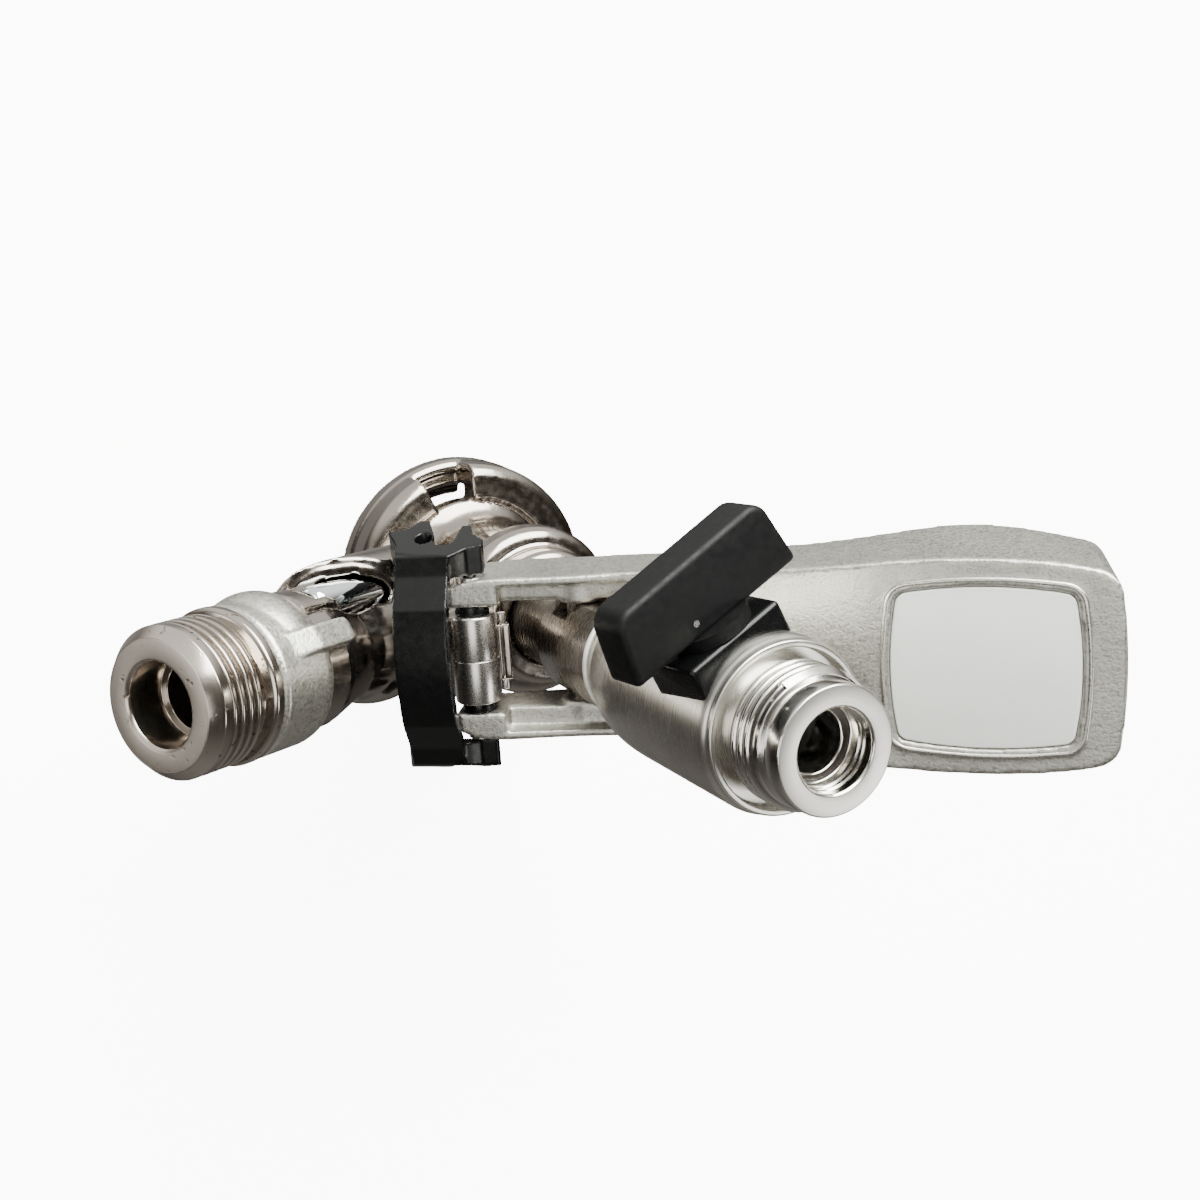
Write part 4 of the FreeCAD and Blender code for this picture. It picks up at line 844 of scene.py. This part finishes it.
class KEGCOUPLER_OT_stage(bpy.types.Operator):
    """Makes the pale floor, the soft lights and the camera at the photograph's angle"""
    bl_idname = "keg_coupler.make_stage"
    bl_label = "Stage"

    def execute(self, context):
        scene = context.scene
        self.add_floor(scene)
        self.add_surroundings(scene)
        self.add_lights(scene)
        self.add_camera(scene)
        return {"FINISHED"}

    def add_floor(self, scene):
        """A pale floor with a glow of its own. It neither lights the coupler nor shows in it."""
        bm = bmesh.new()
        bmesh.ops.create_grid(bm, x_segments=2, y_segments=2, size=FLOOR_HALF)
        mesh = bpy.data.meshes.new("floor")
        bm.to_mesh(mesh)
        bm.free()
        floor = bpy.data.objects.new("floor", mesh)
        floor.visible_glossy = False
        floor.visible_diffuse = False
        scene.collection.objects.link(floor)
        finish, shader, coords = new_finish("floor_pale", (0.9, 0.9, 0.9), 0.0, 0.9)
        cloud = noise(finish, coords, scale=3.0, detail=3.0)
        tone = ramp(finish, cloud, [(NOISE_LOW, FLOOR_DARK), (NOISE_HIGH, FLOOR_LIGHT)])
        link(finish, tone, shader.inputs["Base Color"])
        shader.inputs["Emission Color"].default_value = PAPER_WHITE
        shader.inputs["Emission Strength"].default_value = FLOOR_GLOW
        mesh.materials.append(finish)

    def add_surroundings(self, scene):
        """A pale backdrop, and for the reflections a room that is dark and warm on the far side."""
        world = bpy.data.worlds.new("soft_room")
        world.use_nodes = True
        nodes = world.node_tree.nodes
        room = nodes["Background"]
        room.inputs["Strength"].default_value = ROOM_GLOW
        coords = add_node(world, "ShaderNodeTexCoord")
        split = add_node(world, "ShaderNodeSeparateXYZ")
        link(world, coords.outputs["Generated"], split.inputs["Vector"])
        tone = ramp(world, in_range(world, split.outputs["Y"], 0.0, 1.0, -1.0, 1.0), ROOM_TONES)
        gleam = in_range(world, split.outputs["Z"], 0.0, GLEAM, GLEAM_FROM, GLEAM_FULL)
        total = add_node(world, "ShaderNodeVectorMath", operation="ADD")
        link(world, tone, total.inputs[0])
        link(world, gleam, total.inputs[1])
        link(world, total.outputs["Vector"], room.inputs["Color"])
        backdrop = add_node(world, "ShaderNodeBackground")
        backdrop.inputs["Color"].default_value = PAPER_WHITE
        backdrop.inputs["Strength"].default_value = BACKDROP_GLOW
        rays = add_node(world, "ShaderNodeLightPath")
        choice = add_node(world, "ShaderNodeMixShader")
        link(world, rays.outputs["Is Camera Ray"], choice.inputs["Fac"])
        link(world, room.outputs["Background"], choice.inputs[1])
        link(world, backdrop.outputs["Background"], choice.inputs[2])
        link(world, choice.outputs["Shader"], nodes["World Output"].inputs["Surface"])
        scene.world = world

    def add_lights(self, scene):
        """Soft square lamps, each turned to its aim."""
        for name, spot, aim, size, power, colour in LIGHTS:
            data = bpy.data.lights.new(name, "AREA")
            data.shape = "SQUARE"
            data.size = size
            data.energy = power
            data.color = colour
            lamp = bpy.data.objects.new(name, data)
            lamp.location = spot
            lamp.rotation_euler = (Vector(spot) - Vector(aim)).to_track_quat("Z", "Y").to_euler()
            scene.collection.objects.link(lamp)

    def add_camera(self, scene):
        """The camera stands in front of the outlet, to the left of it, and looks down on the base."""
        data = bpy.data.cameras.new("photo_camera")
        data.lens = CAMERA_LENS
        data.sensor_width = CAMERA_SENSOR
        data.clip_start = CAMERA_NEAR
        camera = bpy.data.objects.new("photo_camera", data)
        turn = Matrix((CAMERA_RIGHT, CAMERA_UP, CAMERA_BACK)).transposed().to_4x4()
        camera.matrix_world = Matrix.Translation(CAMERA_SPOT * MM) @ turn
        scene.collection.objects.link(camera)
        scene.camera = camera


class KEGCOUPLER_OT_body(bpy.types.Operator):
    """Makes the polished body casting with its base, gas branch, relief boss and hinge ear"""
    bl_idname = "keg_coupler.make_body"
    bl_label = "Body casting"

    def execute(self, context):
        sizes = context.scene.keg_coupler_sizes
        pin_bed = rod(PIN_BED_R, -PIN_BED_HALF, PIN_BED_HALF)
        pin_bed.transform(STOP_PIN_FRAME)
        shape = add_mesh(node_copy("body_casting"), pin_bed, self.boss_rim())
        bm = cast_skin(shape, sizes.casting_grain, sizes.casting_rounds)
        for wall in BODY_WALLS:
            true_round(bm, WORLD_FRAME, *wall)
        true_round(bm, GAS_FRAME, *BRANCH_WALL)
        finish_piece("body_casting_skin", bm, WORLD_FRAME, "body", "body", ["body_casting"], 0)
        return {"FINISHED"}

    def boss_rim(self):
        """A tube that thickens the relief boss, cut off at the slant of the boss's mouth."""
        rim = turned([
            (RIM_BORE_R, RIM_LOW), (RIM_R, RIM_LOW), (RIM_R, RIM_TOP), (RIM_BORE_R, RIM_TOP)], FINE_STEPS)
        mouth = Vector((math.sin(MOUTH_TILT), 0, math.cos(MOUTH_TILT)))
        bmesh.ops.bisect_plane(rim, geom=rim.verts[:] + rim.edges[:] + rim.faces[:],
                               plane_co=(0, 0, MOUTH_AT * MM), plane_no=mouth, clear_outer=True)
        bmesh.ops.holes_fill(rim, edges=[e for e in rim.edges if e.is_boundary])
        rim.transform(RELIEF_FRAME)
        return rim


class KEGCOUPLER_OT_gas_inlet(bpy.types.Operator):
    """Makes the blasted collar and the turned gas nipple with its thread"""
    bl_idname = "keg_coupler.make_gas_inlet"
    bl_label = "Gas inlet"

    def execute(self, context):
        sizes = context.scene.keg_coupler_sizes
        collar = cast_skin(node_copy("gas_collar"), COLLAR_GRAIN, sizes.casting_rounds)
        finish_piece("gas_collar_skin", collar, WORLD_FRAME, "collar", "body", ["gas_collar"],
                     0)
        nipple = turned([
            (LIP_BORE_R, SPIGOT_END), (SPIGOT_R, SPIGOT_END), (SPIGOT_R, GAS_SEAT), (GAS_NECK_R, GAS_SEAT),
            (GAS_NECK_R, 83.0, 0.1), (GAS_FLANGE_R, 83.15, 0.15), (GAS_FLANGE_R, 84.7, 0.3),
            (13.2, 85.1, 0.1), (GAS_CORE_R, 85.5, 0.1), (GAS_CORE_R, 93.6, 0.1), (GAS_LAND_R, 94.1, 0.12),
            (GAS_LAND_R, 95.9, 0.15), (11.3, GAS_FACE, 0.12), (7.8, GAS_FACE, 0.2), (GAS_BORE_R, 97.4, 0.2),
            (GAS_BORE_R, 90.5, 0.2), (LIP_BORE_R, 90.4, 0.15)])
        ridge = thread_ridge(
            GAS_THREAD_LOW, GAS_THREAD_TOP, GAS_CORE_R, GAS_CREST_R, sizes.thread_pitch, False)
        finish_piece("gas_nipple_turned", add_mesh(nipple, ridge), GAS_FRAME, "gas_turned", "body",
                     ["gas_nipple"], 40)
        return {"FINISHED"}


class KEGCOUPLER_OT_relief(bpy.types.Operator):
    """Makes the relief valve's bright housing and its poppet"""
    bl_idname = "keg_coupler.make_relief_valve"
    bl_label = "Relief valve"

    def execute(self, context):
        housing = turned([
            (HOUSING_HOLE_R, HOUSING_LOW), (HOUSING_FOOT_R, HOUSING_LOW, 0.3), (HOUSING_FOOT_R, 40.0, 0.2),
            (HOUSING_R, 40.4, 0.2), (HOUSING_R, 60.6, 0.4), (HOUSING_CAP_R, 61.4, 0.3),
            (HOUSING_CAP_R, HOUSING_TOP, 0.3), (CAP_HOLE_R, HOUSING_TOP), (CAP_HOLE_R, SPRING_ROOM_TOP),
            (SPRING_ROOM_R, SPRING_ROOM_TOP), (SPRING_ROOM_R, HOUSING_FLOOR),
            (HOUSING_HOLE_R, HOUSING_FLOOR)])
        finish_piece("relief_housing_turned", housing, RELIEF_FRAME, "chrome", "body", ["relief_housing"],
                     40)
        poppet = turned([
            (0, POPPET_LOW), (POPPET_R, POPPET_LOW, 0.2), (POPPET_R, 38.4, 0.2), (POPPET_STEM_R, 39.0),
            (POPPET_STEM_R, 62.6, 0.1), (POPPET_TIP_R, POPPET_TOP, 0.1), (0, POPPET_TOP)], ROD_STEPS, False)
        finish_piece("relief_poppet_turned", poppet, RELIEF_FRAME, "chrome", "poppet", ["relief_poppet"],
                     40)
        return {"FINISHED"}


class KEGCOUPLER_OT_hinge(bpy.types.Operator):
    """Makes the hinge's sleeves and washers, and the two ends of the stop pin"""
    bl_idname = "keg_coupler.make_hinge"
    bl_label = "Hinge"

    def execute(self, context):
        sleeves = self.both_ways([
            (SLEEVE_BORE_R, SEAM), (SLEEVE_R, SEAM, 0.16), (SLEEVE_R, SLEEVE_END, 0.5),
            (SLEEVE_BORE_R, SLEEVE_END)])
        finish_piece("hinge_sleeves_turned", sleeves, HINGE_FRAME, "hinge_turned", "body", ["hinge_sleeves"])
        # Painted shade: the washers are drawn in the clip's black for the shade of the gap that they lie in,
        # and the real ones are steel.
        washers = self.both_ways([
            (WASHER_BORE_R, WASHER_START), (WASHER_R, WASHER_START, 0.1), (WASHER_R, WASHER_END, 0.1),
            (WASHER_BORE_R, WASHER_END)])
        finish_piece("hinge_washers_turned", washers, HINGE_FRAME, "clip", "body", ["hinge_washers"])
        stop = add_mesh(*[self.stop_pin_end(low) for low in STOP_PIN_STARTS])
        finish_piece("stop_pin_turned", stop, STOP_PIN_FRAME, "hinge_turned", "body", ["stop_pin"])
        return {"FINISHED"}

    def both_ways(self, profile):
        """A turned piece and its twin on the other side of the middle."""
        pair = turned(profile, FINE_STEPS)
        twin = turned([(r, -z, *rest) for r, z, *rest in profile], FINE_STEPS)
        return add_mesh(pair, twin)

    def stop_pin_end(self, low):
        """One end of the stop pin. The pin's middle is bedded in the hinge ear."""
        high = low + STOP_PIN_SHOWN
        profile = [(0, low), (STOP_PIN_R, low, 0.2), (STOP_PIN_R, high, 0.2), (0, high)]
        return turned(profile, ROD_STEPS, False)


class KEGCOUPLER_OT_handle(bpy.types.Operator):
    """Makes the sand-blasted fork and grip, the border and the bare badge plate"""
    bl_idname = "keg_coupler.make_handle"
    bl_label = "Handle"

    def execute(self, context):
        sizes = context.scene.keg_coupler_sizes
        bm = cast_skin(node_copy("handle_casting"), sizes.casting_grain, sizes.casting_rounds)
        finish_piece("handle_skin", bm, WORLD_FRAME, "handle", "handle", ["handle_casting"],
                     0)
        border = raised(bowed_plate(*BORDER_PLATE), sizes.border_height + BORDER_SUNK)
        opening = lowered(raised(bowed_plate(*BORDER_OPENING), OPENING_DEPTH), OPENING_DEPTH / 2)
        border = lowered(soften_edges(cut_away(border, opening), BADGE_EDGE, 3, 0.5), BORDER_SUNK)
        finish_piece("badge_border", border, FACE_FRAME, "border", "handle", ())
        badge = soften_edges(raised(bowed_plate(*BADGE_PLATE), BADGE_THICKNESS), BADGE_EDGE, 4, 0.9)
        finish_piece("badge_plate_bare", lowered(badge, BADGE_SUNK), FACE_FRAME, "badge", "handle",
                     ["badge_plate"])
        return {"FINISHED"}


class KEGCOUPLER_OT_clip(bpy.types.Operator):
    """Makes the moulded clip over the hinge"""
    bl_idname = "keg_coupler.make_clip"
    bl_label = "Hinge clip"

    def execute(self, context):
        bm = cast_skin(node_copy("hinge_clip"), CLIP_GRAIN, CLIP_ROUNDS)
        finish_piece("hinge_clip_moulded", bm, WORLD_FRAME, "clip", "handle", ["hinge_clip"],
                     0)
        return {"FINISHED"}


class KEGCOUPLER_OT_probe(bpy.types.Operator):
    """Makes the sliding probe with its slotted head, and the gasket on top of it"""
    bl_idname = "keg_coupler.make_probe"
    bl_label = "Probe"

    def execute(self, context):
        tube = turned([
            (PROBE_BORE_R, PROBE_TIP), (PROBE_TIP_R, PROBE_TIP), (PROBE_TIP_R, PROBE_SEAL_TOP),
            (PROBE_R, 25.02, 0.2), (PROBE_R, HEAD_LOW), (8.5, HEAD_LOW), (HEAD_R, 53.2, 0.3),
            (HEAD_R, 68.3, 0.3), (10.9, CROWN_LOW, 0.6), (CROWN_R, 80.0), (CROWN_R, PROBE_TOP, 0.1),
            (PROBE_BORE_R, PROBE_TOP)])
        for side in (-1, 1):
            for near, low, high in (HEAD_FLATS, ROLLER_SLOTS):
                first, last = sorted((side * near, side * HEAD_CUT_OUT))
                tube = cut_away(tube, block((-HEAD_CUT_HALF, first, low), (HEAD_CUT_HALF, last, high)))
        finish_piece("probe_tube_turned", tube, WORLD_FRAME, "probe_turned", "probe", ["probe_tube"])
        ring = turned([(GASKET_BORE_R, PROBE_TOP), (GASKET_R, PROBE_TOP, 0.25), (GASKET_R, VALVE_LOW, 0.25),
                       (GASKET_BORE_R, VALVE_LOW)])
        finish_piece("union_gasket", ring, WORLD_FRAME, "gasket", "probe", ["union_ring"])
        return {"FINISHED"}


class KEGCOUPLER_OT_valve(bpy.types.Operator):
    """Makes the ball valve's housing and the threaded outlet"""
    bl_idname = "keg_coupler.make_valve"
    bl_label = "Ball valve"

    def execute(self, context):
        finish_piece("valve_body_turned", add_mesh(self.shell(), self.bonnet()), WORLD_FRAME, "valve_turned",
                     "probe", ["valve_body"])
        pitch = context.scene.keg_coupler_sizes.thread_pitch
        ridge = thread_ridge(OUTLET_THREAD_LOW, OUTLET_THREAD_TOP, OUTLET_CORE_R, OUTLET_CREST_R, pitch)
        finish_piece("outlet_nipple_turned", add_mesh(self.outlet(), ridge), WORLD_FRAME, "outlet_turned",
                     "probe", ["outlet_nipple"], 40)
        return {"FINISHED"}

    def shell(self):
        """The valve's housing: a neck that swells into the barrel, and a rim round the outlet."""
        return turned([
            (VALVE_BORE_R, VALVE_LOW), (VALVE_FOOT_R, VALVE_LOW, 0.2), (VALVE_FOOT_R, 92.6, 0.5),
            (12.6, 95.4, 1.4), (13.7, 99.0, 1.8), (14.4, 103.0, 1.8), (VALVE_R, 107.0, 1.8),
            (VALVE_R, VALVE_FACE, 0.8), (VALVE_RIM_R, 137.7, 0.4), (VALVE_RIM_R, VALVE_TOP, 0.35),
            (VALVE_MOUTH_R, VALVE_TOP, 0.3), (VALVE_MOUTH_R, VALVE_FACE, 0.25), (BALL_ROOM_R, VALVE_FACE),
            (BALL_ROOM_R, BALL_ROOM_LOW), (VALVE_BORE_R, BALL_ROOM_LOW)])

    def bonnet(self):
        """The bonnet that the stem passes through."""
        bonnet = turned([(BONNET_BORE_R, BONNET_LOW), (BONNET_R, BONNET_LOW), (BONNET_R, BONNET_TOP, 0.5),
                         (BONNET_BORE_R, BONNET_TOP)], FINE_STEPS)
        bonnet.transform(STEM_FRAME)
        return bonnet

    def outlet(self):
        """The outlet nipple without its thread's ridge: a neck, the core, a plain ring and a grooved bore."""
        outside = [
            (OUTLET_CHANNEL_R, OUTLET_LOW), (OUTLET_FOOT_R, OUTLET_LOW), (OUTLET_FOOT_R, VALVE_FACE),
            (OUTLET_NECK_R, VALVE_FACE), (OUTLET_NECK_R, 138.3, 0.2), (OUTLET_CORE_R, OUTLET_THREAD_LOW, 0.2),
            (OUTLET_CORE_R, 146.3, 0.2), (OUTLET_NECK_R, 146.7, 0.2), (OUTLET_NECK_R, 147.7, 0.2),
            (OUTLET_RING_R, 147.9, 0.25), (OUTLET_RING_R, OUTLET_TOP, 0.35)]
        mouth = [(OUTLET_GROOVE_R, OUTLET_TOP, 0.15), (OUTLET_BORE_R, 151.05, 0.15)]
        groove = ((OUTLET_BORE_R, 0.0), (OUTLET_GROOVE_R, 0.2), (OUTLET_GROOVE_R, 0.6), (OUTLET_BORE_R, 0.8))
        grooves = [(r, start - drop) for start in OUTLET_GROOVES for r, drop in groove]
        floor = [(OUTLET_BORE_R, 146.0, 0.3), (OUTLET_CHANNEL_R, 145.6, 0.3)]
        return turned(outside + mouth + grooves + floor)


class KEGCOUPLER_OT_lever(bpy.types.Operator):
    """Makes the moulded wing lever, the end of its pin and the cover over the bonnet"""
    bl_idname = "keg_coupler.make_lever"
    bl_label = "Wing lever"

    def execute(self, context):
        hub = rod(HUB_R, HUB_LOW, HUB_TOP)
        finish_piece("wing_lever_moulded", add_mesh(self.wing(), hub), LEVER_FRAME, "lever", "valve",
                     ["wing_lever"])
        pin_end = rod(PIN_END_R, PIN_END_LOW, PIN_END_TOP)
        pin_end.transform(Matrix.Translation(Vector(PIN_END_SPOT) * MM) @ QUARTER_TURN)
        finish_piece("lever_pin_end", pin_end, LEVER_FRAME, "hinge_turned", "valve", ())
        finish_piece("bonnet_cover_moulded", self.cover(), LEVER_FRAME, "clip", "probe", ())
        return {"FINISHED"}

    def wing(self):
        """The wing: a block that narrows to its top, rises a little to one side and has round ends."""
        wing = block((-WING_HALF_L, -WING_HALF_T, WING_LOW), (WING_HALF_L, WING_HALF_T, WING_TOP))
        for vert in wing.verts:
            if vert.co.z > WING_MIDDLE * MM:
                vert.co.x *= WING_TOP_HALF_L / WING_HALF_L
                vert.co.z += WING_RISE * MM if vert.co.x > 0 else 0.0
        ends = [e for e in wing.edges if all(v.co.z > WING_MIDDLE * MM for v in e.verts)
                and abs(e.verts[0].co.x - e.verts[1].co.x) < MM]
        bmesh.ops.bevel(wing, geom=ends, offset=WING_CORNER * MM, offset_type="OFFSET", segments=CORNER_STEPS,
                        profile=0.5, affect="EDGES", material=-1)
        return soften_edges(wing, WING_EDGE, 4)

    def cover(self):
        """The cover: a soft-edged block that is hollowed to sit on the valve's barrel."""
        barrel = rod(COVER_SEAT_R, -COVER_SEAT_HALF, COVER_SEAT_HALF, STEPS)
        barrel.transform(LEVER_FRAME.inverted() @ STEM_FRAME @ QUARTER_TURN)
        return cut_away(soften_edges(block(COVER_LOW, COVER_HIGH), COVER_EDGE, 3), barrel)


OPERATORS = [KEGCOUPLER_OT_stage, KEGCOUPLER_OT_finishes, KEGCOUPLER_OT_body, KEGCOUPLER_OT_gas_inlet,
             KEGCOUPLER_OT_relief, KEGCOUPLER_OT_hinge, KEGCOUPLER_OT_handle, KEGCOUPLER_OT_clip,
             KEGCOUPLER_OT_probe, KEGCOUPLER_OT_valve, KEGCOUPLER_OT_lever]


class KEGCOUPLER_PT_panel(bpy.types.Panel):
    """Lists the coupler's pieces in the sidebar"""
    bl_idname = "KEGCOUPLER_PT_panel"
    bl_label = "Keg Coupler"
    bl_space_type = "VIEW_3D"
    bl_region_type = "UI"
    bl_category = "Keg Coupler"

    def draw(self, context):
        layout = self.layout
        for group in (context.scene.keg_coupler_sizes, context.scene.keg_coupler_colours):
            for name in group.__annotations__:
                layout.prop(group, name)
        for operator in OPERATORS:
            layout.operator(operator.bl_idname)


CLASSES = [KegCouplerSizes, KegCouplerColours, *OPERATORS, KEGCOUPLER_PT_panel]


def register():
    """Registers the classes and the panel's settings."""
    for cls in CLASSES:
        bpy.utils.register_class(cls)
    bpy.types.Scene.keg_coupler_sizes = bpy.props.PointerProperty(type=KegCouplerSizes)
    bpy.types.Scene.keg_coupler_colours = bpy.props.PointerProperty(type=KegCouplerColours)


def unregister():
    """Takes the panel's settings and the classes away again."""
    del bpy.types.Scene.keg_coupler_colours
    del bpy.types.Scene.keg_coupler_sizes
    for cls in reversed(CLASSES):
        bpy.utils.unregister_class(cls)


def main():
    """Builds every piece in order."""
    register()
    bpy.ops.keg_coupler.make_stage()
    bpy.ops.keg_coupler.make_finishes()
    bpy.ops.keg_coupler.make_body()
    bpy.ops.keg_coupler.make_gas_inlet()
    bpy.ops.keg_coupler.make_relief_valve()
    bpy.ops.keg_coupler.make_hinge()
    bpy.ops.keg_coupler.make_handle()
    bpy.ops.keg_coupler.make_clip()
    bpy.ops.keg_coupler.make_probe()
    bpy.ops.keg_coupler.make_valve()
    bpy.ops.keg_coupler.make_lever()


if __name__ == "__main__":
    main()
